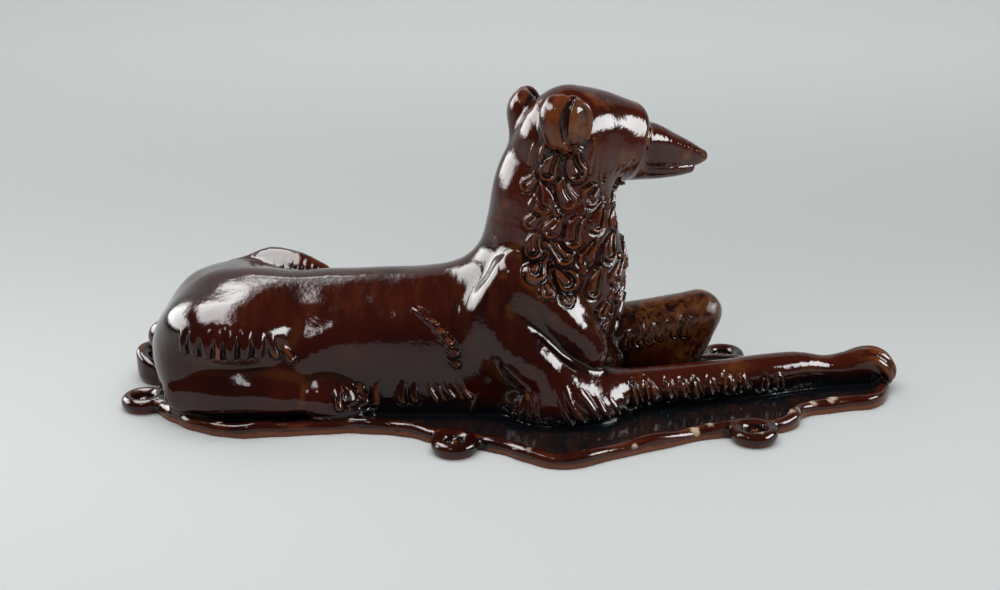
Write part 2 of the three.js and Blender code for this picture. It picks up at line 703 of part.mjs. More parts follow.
// The largest body of a mesh, without the bubbles that the coat may close in.
function largest({ points, faces }) {
  const root = points.map((_, i) => i);
  const find = (i) => {
    let r = i;
    while (root[r] !== r) r = root[r];
    while (root[i] !== r) [i, root[i]] = [root[i], r];
    return r;
  };
  for (const [a, b, c] of faces) {
    root[find(a)] = find(b);
    root[find(b)] = find(c);
  }
  const counts = new Map();
  for (const [a] of faces) counts.set(find(a), (counts.get(find(a)) ?? 0) + 1);
  const [main] = [...counts].reduce((best, next) => (next[1] > best[1] ? next : best));
  return { points, faces: faces.filter(([a]) => find(a) === main) };
}

// The sum of the squared distances to some planes, kept as the ten numbers of a symmetric 4 by 4 matrix.
const QUADRIC = 10;

function addPlane(q, at, nx, ny, nz, d, w) {
  const plane = [nx, ny, nz, d];
  let slot = at;
  for (let i = 0; i < 4; i++) {
    for (let j = i; j < 4; j++) q[slot++] += w * plane[i] * plane[j];
  }
}

function error(q, x, y, z) {
  return (
    q[0] * x * x + q[4] * y * y + q[7] * z * z + q[9] +
    2 * (q[1] * x * y + q[2] * x * z + q[5] * y * z + q[3] * x + q[6] * y + q[8] * z)
  );
}

// The point where a quadric is least, or null where that isn't clear.
function lowest(q) {
  const a = q[4] * q[7] - q[5] * q[5];
  const b = q[2] * q[5] - q[1] * q[7];
  const c = q[1] * q[5] - q[2] * q[4];
  const det = q[0] * a + q[1] * b + q[2] * c;
  if (Math.abs(det) < 1e-4 * (q[0] + q[4] + q[7]) ** 3) return null;
  const e = q[0] * q[7] - q[2] * q[2];
  const f = q[1] * q[2] - q[0] * q[5];
  const g = q[0] * q[4] - q[1] * q[1];
  const x = -(a * q[3] + b * q[6] + c * q[8]) / det;
  const y = -(b * q[3] + e * q[6] + f * q[8]) / det;
  const z = -(c * q[3] + f * q[6] + g * q[8]) / det;
  return new THREE.Vector3(x, y, z);
}

// A heap that gives back the entry of the least cost.
class Heap {
  entries = [];

  push(entry) {
    const list = this.entries;
    let i = list.length;
    list.push(entry);
    while (i > 0) {
      const parent = (i - 1) >> 1;
      if (list[parent].cost <= entry.cost) break;
      list[i] = list[parent];
      i = parent;
    }
    list[i] = entry;
  }

  pop() {
    const list = this.entries;
    const top = list[0];
    const last = list.pop();
    if (list.length === 0) return top;
    let i = 0;
    for (;;) {
      let child = 2 * i + 1;
      if (child >= list.length) break;
      if (child + 1 < list.length && list[child + 1].cost < list[child].cost) child++;
      if (list[child].cost >= last.cost) break;
      list[i] = list[child];
      i = child;
    }
    list[i] = last;
    return top;
  }
}

// Collapses the edges that matter least, one after the other, until the mesh is down to `target` triangles.
function simplified({ points, faces }, target) {
  const quadrics = new Float64Array(points.length * QUADRIC);
  const around = points.map(() => new Set());
  const age = new Int32Array(points.length);
  const normalOf = ([a, b, c], moved, to) => {
    const [pa, pb, pc] = [a, b, c].map((i) => (i === moved ? to : points[i]));
    return new THREE.Vector3().crossVectors(pb.clone().sub(pa), pc.clone().sub(pa));
  };
  faces.forEach((face, i) => {
    const n = normalOf(face);
    const area = n.length() / 2;
    n.normalize();
    for (const v of face) {
      around[v].add(i);
      addPlane(quadrics, v * QUADRIC, n.x, n.y, n.z, -n.dot(points[v]), area * importance(points[v]));
    }
  });
  const neighbours = (v) => {
    const found = new Set();
    for (const f of around[v]) for (const u of faces[f]) if (u !== v) found.add(u);
    return found;
  };
  const heap = new Heap();
  const consider = (a, b) => {
    const q = new Float64Array(QUADRIC);
    for (let i = 0; i < QUADRIC; i++) q[i] = quadrics[a * QUADRIC + i] + quadrics[b * QUADRIC + i];
    const middle = points[a].clone().add(points[b]).multiplyScalar(0.5);
    const span = points[a].distanceTo(points[b]);
    const best = lowest(q);
    const to = best && best.distanceTo(middle) < span ? best : middle;
    const cost = Math.max(error(q, to.x, to.y, to.z), 0) + 1e-3 * span * span;
    heap.push({ cost, a, b, to, born: age[a] + age[b] });
  };
  const keepsShape = (v, other, to) => {
    for (const f of around[v]) {
      if (faces[f].includes(other)) continue;
      const before = normalOf(faces[f]);
      const after = normalOf(faces[f], v, to);
      if (after.dot(before) < 0.25 * after.length() * before.length()) return false;
      const sides = faces[f].map((u) => (u === v ? to : points[u]));
      const longest = Math.max(...sides.map((p, i) => p.distanceTo(sides[(i + 1) % 3])));
      if (after.length() < 0.08 * longest * longest) return false;
    }
    return true;
  };
  points.forEach((_, a) => neighbours(a).forEach((b) => a < b && consider(a, b)));
  let left = faces.length;
  while (left > target) {
    const { a, b, to, born } = heap.pop();
    if (!around[a] || !around[b] || born !== age[a] + age[b]) continue;
    const ofA = neighbours(a);
    const ofB = neighbours(b);
    if (!ofA.has(b) || [...ofA].filter((v) => ofB.has(v)).length !== 2) continue;
    if (!keepsShape(a, b, to) || !keepsShape(b, a, to)) continue;
    points[a].copy(to);
    for (let i = 0; i < QUADRIC; i++) quadrics[a * QUADRIC + i] += quadrics[b * QUADRIC + i];
    for (const f of around[b]) {
      if (faces[f].includes(a)) {
        for (const v of faces[f]) if (v !== b) around[v].delete(f);
        faces[f] = null;
        left--;
      } else {
        faces[f][faces[f].indexOf(b)] = a;
        around[a].add(f);
      }
    }
    around[b] = null;
    const nowAround = neighbours(a);
    age[a]++;
    for (const v of nowAround) consider(a, v);
  }
  return { points, faces: faces.filter(Boolean) };
}

// The face, the ears and the near paw keep more of their triangles than the plain back and the floor.
function importance(p) {
  if (p.z < 0.5) return 0.3;
  if (p.z > 150 || (p.x > 250 && p.z > 12)) return 3;
  return 1;
}

// The solid: drawn, thinned out, laid back on the surface, with its foot flat.
function solid() {
  const { points, faces } = simplified(netted(untangled(sampled(surface))), TRIANGLES);
  const used = [...new Set(faces.flat())];
  const place = new Map(used.map((v, i) => [v, i]));
  const position = new Float32Array(used.length * 3);
  used.forEach((v, i) => {
    const p = points[v];
    if (p.z > 1.5) p.copy(settled(surface, p, 2));
    if (p.z < 0.4) p.z = 0;
    p.toArray(position, i * 3);
  });
  const geometry = new THREE.BufferGeometry();
  geometry.setAttribute("position", new THREE.BufferAttribute(position, 3));
  geometry.setIndex(faces.flat().map((v) => place.get(v)));
  geometry.computeBoundingBox();
  const { min, max } = geometry.boundingBox;
  geometry.translate(-(min.x + max.x) / 2, -(min.y + max.y) / 2, -min.z);
  geometry.computeVertexNormals();
  return geometry;
}

const glaze = new THREE.MeshStandardMaterial({ color: 0x4a1c10, roughness: 0.12, metalness: 0 });
const dog = new THREE.Mesh(solid(), glaze);
dog.name = "dog_on_base";

const figurine = new THREE.Group();
figurine.add(dog);

export default figurine;
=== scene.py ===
"""Looks of a glazed earthenware dog that lies on its own shaped base, one ceramic body.

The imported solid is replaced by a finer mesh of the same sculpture. It is drawn from one field of signed
distances in millimetres, in the sculptor's frame: +X the way the dog faces, +Y its left, +Z up.
"""

import itertools
import math
from concurrent.futures import ThreadPoolExecutor

import bpy
import numpy as np
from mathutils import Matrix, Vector


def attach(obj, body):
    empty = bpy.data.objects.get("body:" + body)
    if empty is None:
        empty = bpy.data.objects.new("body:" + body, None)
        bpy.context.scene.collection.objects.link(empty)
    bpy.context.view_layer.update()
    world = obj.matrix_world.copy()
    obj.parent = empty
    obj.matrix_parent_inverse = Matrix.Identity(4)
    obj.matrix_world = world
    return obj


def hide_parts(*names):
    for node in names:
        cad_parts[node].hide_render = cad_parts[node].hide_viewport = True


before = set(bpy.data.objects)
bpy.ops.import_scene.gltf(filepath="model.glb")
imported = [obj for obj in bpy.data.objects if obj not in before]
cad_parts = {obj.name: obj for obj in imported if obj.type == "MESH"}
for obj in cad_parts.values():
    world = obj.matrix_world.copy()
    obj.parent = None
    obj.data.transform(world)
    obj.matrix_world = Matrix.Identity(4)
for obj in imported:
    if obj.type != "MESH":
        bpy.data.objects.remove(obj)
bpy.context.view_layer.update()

NODE = "dog_on_base"
# The middle of the CAD part's box in the sculptor's frame.
CENTRE = (9.5, 13.97, 0.0)

BODY_MID_Y = 29
FLOOR_Z = 5
RIM_RADIUS = 4.8
RIM_Z = 5.2
HEAD_AT = (53, 33, 197)
HEAD_TURN = (29, 10, -3)  # yaw, pitch and roll in degrees
NECK_AT = (37, 32)
NECK_FLAT = 1.22

MM = 1000  # millimetres in a metre
STEP = 1.15  # between the samples of the field
BLOCK = 8  # samples along a block
SUPER = 4  # blocks along a chunk
LOW = (-300, -118, -5.2)
HIGH = (306, 140, 246)
AWAY = 100  # the value of blocks that the surface doesn't reach
SLACK = 1.5  # the form's distances may run this much too high
COAT_BAND = 9  # how far from the form the coat is laid
COAT_HEIGHT = 4  # how far the hair may stand out
TOES_FROM = 250  # along X
TRIANGLES = 196000
REACH = 28  # past this distance a part counts as its bounding ball
HEAD_REACH = 120  # from the middle of the skull
HOLLOW_AT = (2.2, 6.0)  # distances outside the surface at which hollows are read
EDGE_AT = (2.2, 5.0)  # distances inside it at which proud edges are read
LEVEL_BELOW, FLAT_BELOW = 1.5, 0.4  # heights below which points stay as netted, and are laid flat
THREADS = 4

PHOTO_WIDTH, PHOTO_FOCAL = 1000, 1700  # pixels
CAMERA_AWAY, CAMERA_RISE = 1.19, 21  # metres and degrees
SENSOR = 36  # the camera's width in its own millimetres

F = np.float32


# Fields
def length(*parts):
    total = parts[0] * parts[0]
    for p in parts[1:]:
        total = total + p * p
    return np.sqrt(total)


def blend(a, b, k):
    h = np.maximum(k - np.abs(a - b), 0)
    return np.minimum(a, b) - h * h * (0.25 / k)


def cut(a, b, k):
    """Field a with b taken out of it."""
    return -blend(-a, b, k)


def smooth(v, lo, hi):
    t = np.clip((v - lo) / (hi - lo), 0, 1)
    return t * t * (3 - 2 * t)


def bump(t):
    return np.exp(-t * t)


def scatter(i, j):
    """A fixed number between 0 and 1 for a pair of indices."""
    s = math.sin(i * 12.9898 + j * 78.233) * 43758.5453
    return s - math.floor(s)


def culled(field, at, radius):
    """The field itself near its bounding ball, and the distance to the ball beyond REACH."""
    cx, cy, cz = (float(c) for c in at)

    def near(x, y, z):
        gap = length(x - cx, y - cy, z - cz) - radius
        close = gap <= REACH
        if close.all():
            return field(x, y, z)
        if close.any():
            gap[close] = field(x[close], y[close], z[close])
        return gap

    return near


def turn_matrix(yaw, pitch, roll):
    y, p, r = (math.radians(a) for a in (yaw, pitch, roll))
    rz = np.array([[math.cos(y), -math.sin(y), 0], [math.sin(y), math.cos(y), 0], [0, 0, 1]])
    ry = np.array([[math.cos(p), 0, math.sin(p)], [0, 1, 0], [-math.sin(p), 0, math.cos(p)]])
    rx = np.array([[1, 0, 0], [0, math.cos(r), -math.sin(r)], [0, math.sin(r), math.cos(r)]])
    return rz @ ry @ rx


def turned(field, at, yaw=0, pitch=0, roll=0):
    m = [[float(v) for v in row] for row in turn_matrix(yaw, pitch, roll)]
    ax, ay, az = (float(c) for c in at)

    def moved(x, y, z):
        a, b, c = x - ax, y - ay, z - az
        if not (yaw or pitch or roll):
            return field(a, b, c)
        return field(*(a * m[0][k] + b * m[1][k] + c * m[2][k] for k in range(3)))

    return moved


def ball(at, radii, yaw=0, pitch=0, roll=0):
    rx, ry, rz = (float(r) for r in radii)

    def egg(x, y, z):
        k0 = length(x / rx, y / ry, z / rz)
        k1 = length(x / (rx * rx), y / (ry * ry), z / (rz * rz)) + 1e-9
        return k0 * (k0 - 1) / k1

    return culled(turned(egg, at, yaw, pitch, roll), at, max(radii))


def through(stations, steps, closed=False):
    """A smooth run of stations through the given ones."""
    pts = np.array(stations, float)
    n = len(pts)
    pick = (lambda i: pts[i % n]) if closed else (lambda i: pts[min(max(i, 0), n - 1)])
    run = []
    for i in range(n if closed else n - 1):
        p0, p1, p2, p3 = (pick(i + k) for k in (-1, 0, 1, 2))
        for j in range(steps):
            t = j / steps
            bend = (2 * p0 - 5 * p1 + 4 * p2 - p3) * t * t + (3 * p1 - p0 - 3 * p2 + p3) * t ** 3
            run.append(p1 + 0.5 * ((p2 - p0) * t + bend))
    if not closed:
        run.append(pts[-1])
    return np.array(run)


def rod(a, b):
    ax, ay, az, ra = (float(v) for v in a)
    dx, dy, dz, swell = (float(q) - p for p, q in zip((ax, ay, az, ra), b))
    scale = 1 / (dx * dx + dy * dy + dz * dz + 1e-9)

    def field(x, y, z):
        px, py, pz = x - ax, y - ay, z - az
        t = np.clip((px * dx + py * dy + pz * dz) * scale, 0, 1)
        return length(px - t * dx, py - t * dy, pz - t * dz) - ra - swell * t

    return field


def limb(stations, steps=4):
    run = through(stations, steps)
    rods = [rod(a, b) for a, b in zip(run, run[1:])]
    centre = (run[:, :3].min(0) + run[:, :3].max(0)) / 2
    radius = float((np.linalg.norm(run[:, :3] - centre, axis=1) + run[:, 3]).max())

    def nearest(x, y, z):
        d = rods[0](x, y, z)
        for r in rods[1:]:
            d = np.minimum(d, r(x, y, z))
        return d

    return culled(nearest, centre, radius)


def joined(k, *fields):
    def field(x, y, z):
        d = fields[0](x, y, z)
        for f in fields[1:]:
            d = blend(d, f(x, y, z), k)
        return d

    return field


def near_side(s):
    return tuple(s)


def far_side(s):
    return (s[0], 2 * BODY_MID_Y - s[1]) + tuple(s[2:])


# The base
OUTLINE = [
    (-247, 0), (-229, -21), (-213, -34), (-190, -43), (-160, -43), (-125, -38), (-91, -37), (-66, -42),
    (-48, -52), (-31, -58), (-12, -63), (4, -72), (20, -84), (38, -92), (58, -88), (80, -76),
    (114, -60), (145, -46), (170, -42), (192, -38), (209, -27), (216, -13), (228, -5), (252, 0),
    (270, 6), (282, 20), (288, 42), (282, 62), (262, 76), (235, 82), (200, 80), (150, 84),
    (110, 90), (60, 99), (10, 103), (-50, 99), (-110, 95), (-170, 99), (-213, 97), (-240, 84),
    (-252, 58), (-250, 28),
]
LUGS = [
    (-257, 9, 16.5, 0), (-31, -63, 16.5, 0), (176, -46, 16.5, 0),
    (170, 90, 17, 0), (-40, 104, 16.5, 0), (-251, 64, 21, 0.35),
]


def outline_distance():
    """A table of the distance to the outline of the base, less than 0 inside."""
    line = through(OUTLINE, 6, True)
    x0, y0, pitch, nx, ny = -300.0, -122.0, 1.5, 407, 179
    gx, gy = np.meshgrid(x0 + pitch * np.arange(nx), y0 + pitch * np.arange(ny), indexing="ij")
    nearest = np.full(gx.shape, 1e9)
    inside = np.zeros(gx.shape, bool)
    for (ax, ay), (bx, by) in zip(line, np.roll(line, -1, axis=0)):
        ex, ey = bx - ax, by - ay
        t = np.clip(((gx - ax) * ex + (gy - ay) * ey) / (ex * ex + ey * ey), 0, 1)
        nearest = np.minimum(nearest, length(gx - ax - t * ex, gy - ay - t * ey))
        if ey:
            inside ^= ((ay > gy) != (by > gy)) & (gx < ax + (gy - ay) * ex / ey)
    table = np.where(inside, -nearest, nearest).astype(F)

    def read(x, y):
        u = np.clip((x - x0) / pitch, 0, nx - 1.001)
        v = np.clip((y - y0) / pitch, 0, ny - 1.001)
        i, j = u.astype(np.int32), v.astype(np.int32)
        fu, fv = u - i, v - j
        low = table[i, j] * (1 - fv) + table[i, j + 1] * fv
        high = table[i + 1, j] * (1 - fv) + table[i + 1, j + 1] * fv
        return (low * (1 - fu) + high * fu).astype(F)

    return read


plan = outline_distance()


def lug(cx, cy, radius, rise):
    roll = 4.8
    away = math.hypot(cx, cy)

    def field(x, y, z):
        out = ((x - cx) * cx + (y - cy) * cy) / away
        lift = rise * np.clip(out + radius, 0, 3 * radius)
        q = length(x - cx, y - cy)
        above = z - 5.8
        edge = length(q - radius + roll, np.where(above > lift, above - lift, np.minimum(above, 0))) - roll
        dish = np.maximum(q - radius + 2.5, z - 4 - lift)
        bead = length(q, z - 3.4 - lift) - 4.4
        return blend(blend(edge, dish, 2.5), bead, 1.5)

    return culled(field, (cx, cy, 5), radius + 8)


def base():
    lugs = [lug(*l) for l in LUGS]

    def field(x, y, z):
        s = plan(x, y) + 0.5 * np.sin(x / 7.7 + y / 12) + 0.35 * np.sin(x / 4.3 - y / 5.3)
        top = RIM_Z + 0.8 * np.sin(x / 13 + y / 9) + 0.4 * np.sin(x / 5.9 - y / 7.1)
        roll = length(s + RIM_RADIUS, np.maximum(z - top, 0)) - RIM_RADIUS
        floor = np.maximum(s + RIM_RADIUS, z - FLOOR_Z)
        d = blend(roll, floor, 5)
        for l in lugs:
            d = blend(d, l(x, y, z), 4)
        return d

    return field


# The body
def torso():
    rump = ball((-187, 27, 42), (63, 54, 50))
    back = limb([
        (-190, 28, 50, 44), (-125, 28, 53, 44), (-60, 29, 54, 45), (0, 30, 57, 47), (35, 30, 62, 46),
    ])
    belly = limb([(-185, 28, 20, 46), (-120, 30, 18, 47), (-60, 30, 18, 48), (-5, 30, 22, 49)])
    fold = limb([(-148, -8, 42, 13), (-132, -7, 52, 12), (-118, -4, 58, 9)])
    return joined(18, rump, back, belly, fold)


def neck():
    column = limb([
        (18, 32, 80, 44), (31, 32, 108, 46), (36, 32, 135, 45),
        (37, 32, 160, 41), (40, 32, 180, 35), (43, 33, 193, 29),
    ], 10)
    return lambda x, y, z: 0.92 * column(x, NECK_AT[1] + (y - NECK_AT[1]) * NECK_FLAT, z)


def side_limb(side, *stations):
    return limb([side(s) for s in stations])


def shoulder(side):
    blade = ball(side((4, -6, 76)), (26, 17, 38), 0, 14)
    arm = side_limb(side, (4, -8, 66, 18), (16, -15, 54, 20), (32, -18, 38, 19), (46, -19, 22, 19))
    elbow = ball(side((46, -16, 14)), (42, 23, 19))
    muscle = side_limb(side, (8, -2, 108, 13), (28, -7, 92, 14), (46, -9, 72, 15), (62, -6, 50, 15))
    return joined(8, blade, arm, elbow, muscle)


def hind_quarter(side):
    thigh = ball(side((-186, 1, 67)), (47, 38, 25), 0, 4)
    buttock = ball(side((-219, 8, 42)), (27, 33, 38))
    shank = side_limb(
        side, (-220, -10, 23, 19), (-200, -17, 25, 20), (-174, -20, 25, 19), (-150, -19, 23, 17),
    )
    paw = side_limb(side, (-140, -16, 18, 13), (-126, -19, 20, 16), (-110, -20, 16, 13), (-99, -19, 12, 9))
    # The groove between the thigh and the lower leg.
    skirt = side_limb(
        side, (-216, -32, 49, 2.5), (-204, -40, 49.5, 4.2), (-186, -43, 50, 4.8), (-168, -41, 49, 4.2),
        (-154, -35, 48, 2.5),
    )
    upper = joined(12, thigh, buttock)

    def field(x, y, z):
        d = cut(blend(upper(x, y, z), shank(x, y, z), 3), skirt(x, y, z), 5)
        return blend(d, paw(x, y, z), 5)

    return field


NEAR_LEG = [
    (42, -16, 26, 20), (70, -8, 21, 17), (100, 2, 18.5, 14), (144, 13, 19, 13.5), (186, 23, 21, 13),
    (215, 32, 21.5, 11.5), (238, 38, 18, 9.5), (255, 41, 18.5, 10), (268, 42, 20.5, 11), (278, 43, 18, 9.5),
]
# A web of clay closes the gap between that leg and the floor of the base.
UNDER_LEG = [
    (165, 18, 8, 7), (186, 23, 8, 8), (215, 32, 8, 7.5), (238, 38, 7.5, 7), (255, 41, 8, 7.5),
    (270, 42.5, 8, 7.5), (279, 43, 8, 6),
]


def far_leg():
    forearm = limb([(45, 56, 34, 26), (75, 58, 38, 22), (110, 61, 43, 19), (147, 63, 53, 16)])
    pastern = limb([(149, 63, 52, 14), (143, 62, 32, 13), (132, 60, 18, 12), (100, 57, 14, 11)])
    return joined(7, forearm, pastern, ball((92, 60, 27), (52, 18, 25)))


TAIL = [
    (-246, 46, 40, 12), (-246, 70, 34, 13), (-230, 86, 46, 14), (-206, 87, 64, 16),
    (-188, 82, 74, 14), (-170, 80, 79, 16), (-148, 72, 82, 12), (-130, 66, 82, 6),
]


def tail():
    locks = through(TAIL[2:], 3)
    ridges = []
    for lift in (0.15, 0.62, 1):
        across = math.sqrt(1 - lift * lift)
        ridges.append(limb(
            [(x, y + 0.72 * r * across, z + 0.72 * r * lift, 0.42 * r) for x, y, z, r in locks], 1,
        ))
    return joined(2.5, limb(TAIL), ball((-232, 66, 12), (24, 26, 16)), *ridges)


def block(back, front, wide, high, r):
    """A bar of oval section along X with its end edges rounded by r."""
    def field(x, y, z):
        k = length(y / wide, z / high)
        side = k * (k - 1) / np.maximum(length(y / wide ** 2, z / high ** 2), 1e-6)
        end = np.abs(x - (back + front) / 2) - (front - back) / 2
        a, b = side + r, end + r
        return length(np.maximum(a, 0), np.maximum(b, 0)) + np.minimum(np.maximum(a, b), 0) - r

    return field


def ear():
    back = ball((-32, -20, 11), (11, 10, 18), 0, -12)
    rim = limb([
        (-33.5, -22, 25, 2.6), (-37.5, -22.5, 16, 3.4), (-37, -23, 7, 3.8), (-33, -24, -2, 3.6),
        (-26, -26, -7, 2.8),
    ])
    fold = limb([
        (-31.5, -26.5, 27.5, 2.8), (-36, -27.5, 20, 3.6), (-36.5, -28, 11, 4), (-32.5, -28.5, 2, 4),
        (-25, -29.5, -4, 3.6), (-15, -29, -7, 2.4),
    ])
    flap = ball((-23.5, -29.5, 13), (11.2, 8.6, 18), 0, -12)
    dent = ball((-20, -41.5, 12), (6.5, 5, 11), 0, -12)
    part = limb([
        (-27, -33, 30, 1.4), (-31.5, -34, 23, 2.1), (-32.6, -34.2, 12, 2.3), (-30.4, -34.4, 1.5, 2.1),
        (-25, -34.5, -4, 1.4),
    ])
    hem = limb([
        (-26, -34.5, 28, 1.4), (-18, -36, 24.5, 1.6), (-13.6, -36, 14, 1.6), (-13.4, -34.5, 3.5, 1.6),
    ])

    def field(x, y, z):
        d = blend(back(x, y, z), rim(x, y, z), 5)
        d = blend(d, fold(x, y, z), 4.5)
        d = blend(d, flap(x, y, z), 1.6)
        d = cut(d, part(x, y, z), 1.6)
        d = cut(d, dent(x, y, z), 3)
        return blend(d, hem(x, y, z), 2.5)

    return field


def head():
    """In the head's own frame: +X to the nose, +Y its left, the middle of the skull at the origin."""
    skull = ball((-4, 0, -1), (40, 29, 33))
    face = turned(block(-15, 47.5, 23.4, 27, 6), (0, 0, 0), 0, 4)
    forehead = limb([(-8, 0, 14, 19), (18, 0, 12.5, 18.5), (38, 0, 6.5, 18)])
    jaw = limb([(-2, 0, -16, 22), (26, 0, -17, 16), (45, 0, -19, 12)])
    cheeks = limb([(0, -8, -10, 19), (22, -9, -12, 15), (36, -8, -14, 11)])
    muzzle = limb([
        (44, 0, -8, 20), (62, 0, -7.5, 18.5), (78, 0, -9, 14.8), (94, 0, -10.5, 10.8), (106, 0, -11.5, 7.3),
        (111.5, 0, -11.3, 5.2),
    ])
    chin = limb([
        (48, 0, -20.5, 11), (60, 0, -21.6, 9), (74, 0, -21.8, 7.8), (88, 0, -20.9, 6.4), (100, 0, -19.4, 5),
    ])
    lip_corner = ball((52, -15, -25), (5, 4, 3))
    socket = ball((50.5, -16.5, 2.5), (4.5, 6.5, 6.5))
    eye = ball((45.6, -14.8, 2), (5.4, 5.2, 5.2))
    lids = [
        limb([(46.6, -20.6, 3.5, 1.5), (49.6, -18, 8, 1.7), (51, -13, 8.6, 1.7), (51.3, -9.5, 4.5, 1.2)]),
        limb([(46.6, -20.6, 1.5, 1.4), (49.4, -18, -4, 1.5), (51, -13, -5, 1.5), (51.3, -9.5, -0.5, 1.2)]),
    ]
    crease = limb([
        (21.5, -22, -25, 0.8), (28.7, -23, -21.8, 1.5), (33, -23.5, -18, 1.5), (35.8, -23, -14, 0.8),
    ])
    nostril = limb([(110, -4.4, -10.5, 1.0), (113, -3.8, -12, 1.1), (113.5, -3, -13.5, 0.8)])
    bulk = joined(7, skull, face, forehead, jaw, cheeks)
    near_ear = ear()

    def field(x, y, z):
        half = -np.abs(y)
        d = bulk(x, half, z)
        d = blend(d, 0.8 * muzzle(x, y * (1.5 - 0.2 * smooth(z, -12, 3)), z), 4)
        d = blend(d, chin(x, y * 0.9, z), 0.6)
        d = cut(d, lip_corner(x, half, z), 2)
        d = cut(d, crease(x, half, z), 2)
        d = cut(d, nostril(x, half, z), 1)
        d = blend(d, near_ear(x, half, np.where(y > 0, z + 3, z)), 4)
        d = cut(d, socket(x, half, z), 1.5)
        d = blend(d, eye(x, half, z), 0.4)
        for lid in lids:
            d = blend(d, lid(x, half, z), 1.2)
        return d

    return culled(turned(field, HEAD_AT, *HEAD_TURN), HEAD_AT, HEAD_REACH)


FORM = [
    (torso(), 1), (neck(), 20), (shoulder(near_side), 9), (shoulder(far_side), 9),
    (ball((50, 32, 92), (40, 36, 50)), 14), (ball((50, 29, 22), (38, 42, 26)), 10),
    (hind_quarter(near_side), 8), (hind_quarter(far_side), 8),
    (joined(6, limb(NEAR_LEG), limb(UNDER_LEG)), 9), (far_leg(), 8),
    (tail(), 4), (head(), 10), (base(), 3),
]


def form(x, y, z):
    d = FORM[0][0](x, y, z)
    for part, k in FORM[1:]:
        d = blend(d, part(x, y, z), k)
    return d


def value(field, p):
    """The field at each row of p."""
    return field(*(np.ascontiguousarray(p[:, k], F) for k in range(3)))


def outward(field, p, h=0.5):
    """The unit way out of a field at each row of p."""
    x, y, z = (p[:, k].astype(F) for k in range(3))
    n = np.stack([
        field(x + h, y, z) - field(x - h, y, z),
        field(x, y + h, z) - field(x, y - h, z),
        field(x, y, z + h) - field(x, y, z - h),
    ], 1)
    return n / (np.linalg.norm(n, axis=1, keepdims=True) + 1e-9)


def settled(field, p, turns=5):
    """The rows of p moved onto the surface of a field."""
    q = np.array(p, float)
    for _ in range(turns):
        d = field(*(q[:, k].astype(F) for k in range(3)))
        q -= outward(field, q) * d[:, None]
    return q


# The coat
class Lock:
    """A drop-shaped lock of hair: its round end at `at`, its tip by `root`.

    A curl is a drop inside a raised ring. A strand is a plain ridge that grows out of the form at its root.
    """

    def __init__(self, at, root, size, relief, bend=0.0, taper=0.5, curl=False):
        self.at = np.array(at, float)
        self.n = outward(form, self.at[None])[0]
        way = np.array(root, float) - self.at
        way = way - self.n * way.dot(self.n)
        self.long = float(np.linalg.norm(way))
        self.up = way / self.long
        self.across = np.cross(self.up, self.n)
        self.size, self.relief, self.bend, self.taper, self.curl = size, relief, bend, taper, curl
        self.reach = self.long + 1.6 * size

    def lay(self, h, x, y, z):
        px, py, pz = x - self.at[0], y - self.at[1], z - self.at[2]
        close = px * px + py * py + pz * pz < self.reach ** 2
        close &= np.abs(px * self.n[0] + py * self.n[1] + pz * self.n[2]) < 1.6 * self.size + 0.25 * self.long
        if not close.any():
            return
        px, py, pz = px[close], py[close], pz[close]
        v = px * self.up[0] + py * self.up[1] + pz * self.up[2]
        t = np.clip(v / self.long, 0, 1)
        u = px * self.across[0] + py * self.across[1] + pz * self.across[2]
        u = u - self.bend * self.long * np.sin(math.pi * t) * (0.5 - 0.5 * t)
        s = length(u, v - t * self.long) / (self.size * (1 - self.taper * t))
        dome = np.maximum(1 - s * s, 0)
        if self.curl:
            side = math.copysign(0.2, self.bend) * self.size
            inner = length(u - side, v - t * self.long) / (self.size * (1 - self.taper * t))
            rings = 0.35 * dome + 0.65 * bump((s - 0.82) / 0.26) + 0.6 * bump(inner / 0.36)
            rings = rings - 0.3 * bump((inner - 0.5) / 0.2) - 0.35 * bump((s - 1.2) / 0.26)
            height = rings * (1 - 0.35 * t)
            over = 1 - smooth(s, 1.1, 1.5)
        else:
            fade = 1 - t ** 1.6
            height = (1.1 * dome - 0.12 * bump((s - 1.15) / 0.3)) * fade
            over = (1 - smooth(s, 1.05, 1.5)) * (0.3 + 0.7 * fade)
        was = h[close]
        h[close] = was + (self.relief * height - was) * over


def on_neck(turn, z):
    """The point of the form at a turn in degrees round the neck's axis and a height."""
    way = np.array([math.cos(math.radians(turn)), math.sin(math.radians(turn)), 0])
    out = np.array([NECK_AT[0], NECK_AT[1], z]) + 60 * way
    for _ in range(20):
        out = out - 0.8 * float(value(form, out[None])[0]) * way
    return out


# Curls of the near side, from the lowest: turn and height of the round end, then of the tip, and the radius.
CURLS = [
    (-40, 66, -29, 76, 4.4), (-44, 77, -32, 90, 5.6), (-22, 84, -8, 94, 5.0), (-79, 93, -86, 103, 5.3),
    (-95, 99, -101, 107, 4.8), (-52, 95, -40, 114, 5.8), (-27, 100, -14, 113, 6.7),
    (-76, 104, -90, 117, 8.2), (-106, 111, -97, 124, 7.8), (-56, 118, -43, 130, 6.4),
    (-30, 119, -16, 135, 7.0), (-79, 121, -99, 134, 7.0), (-110, 125, -104, 144, 6.7),
    (-17, 136, -10, 152, 5.4), (-69, 133, -50, 154, 7.6), (-41, 141, -29, 156, 6.7),
    (-115, 144, -102, 154, 5.3), (-92, 140, -81, 153, 6.7), (-46, 161, -30, 173, 7.6),
    (-74, 160, -82, 180, 7.0), (-102, 158, -110, 176, 7.8), (-122, 170, -110, 180, 5.3),
    (-63, 180, -72, 199, 7.6), (-97, 180, -85, 196, 7.0), (-8, 66, 4, 80, 5.2), (-6, 106, 3, 122, 5.6),
    (-9, 150, 2, 162, 4.6),
]
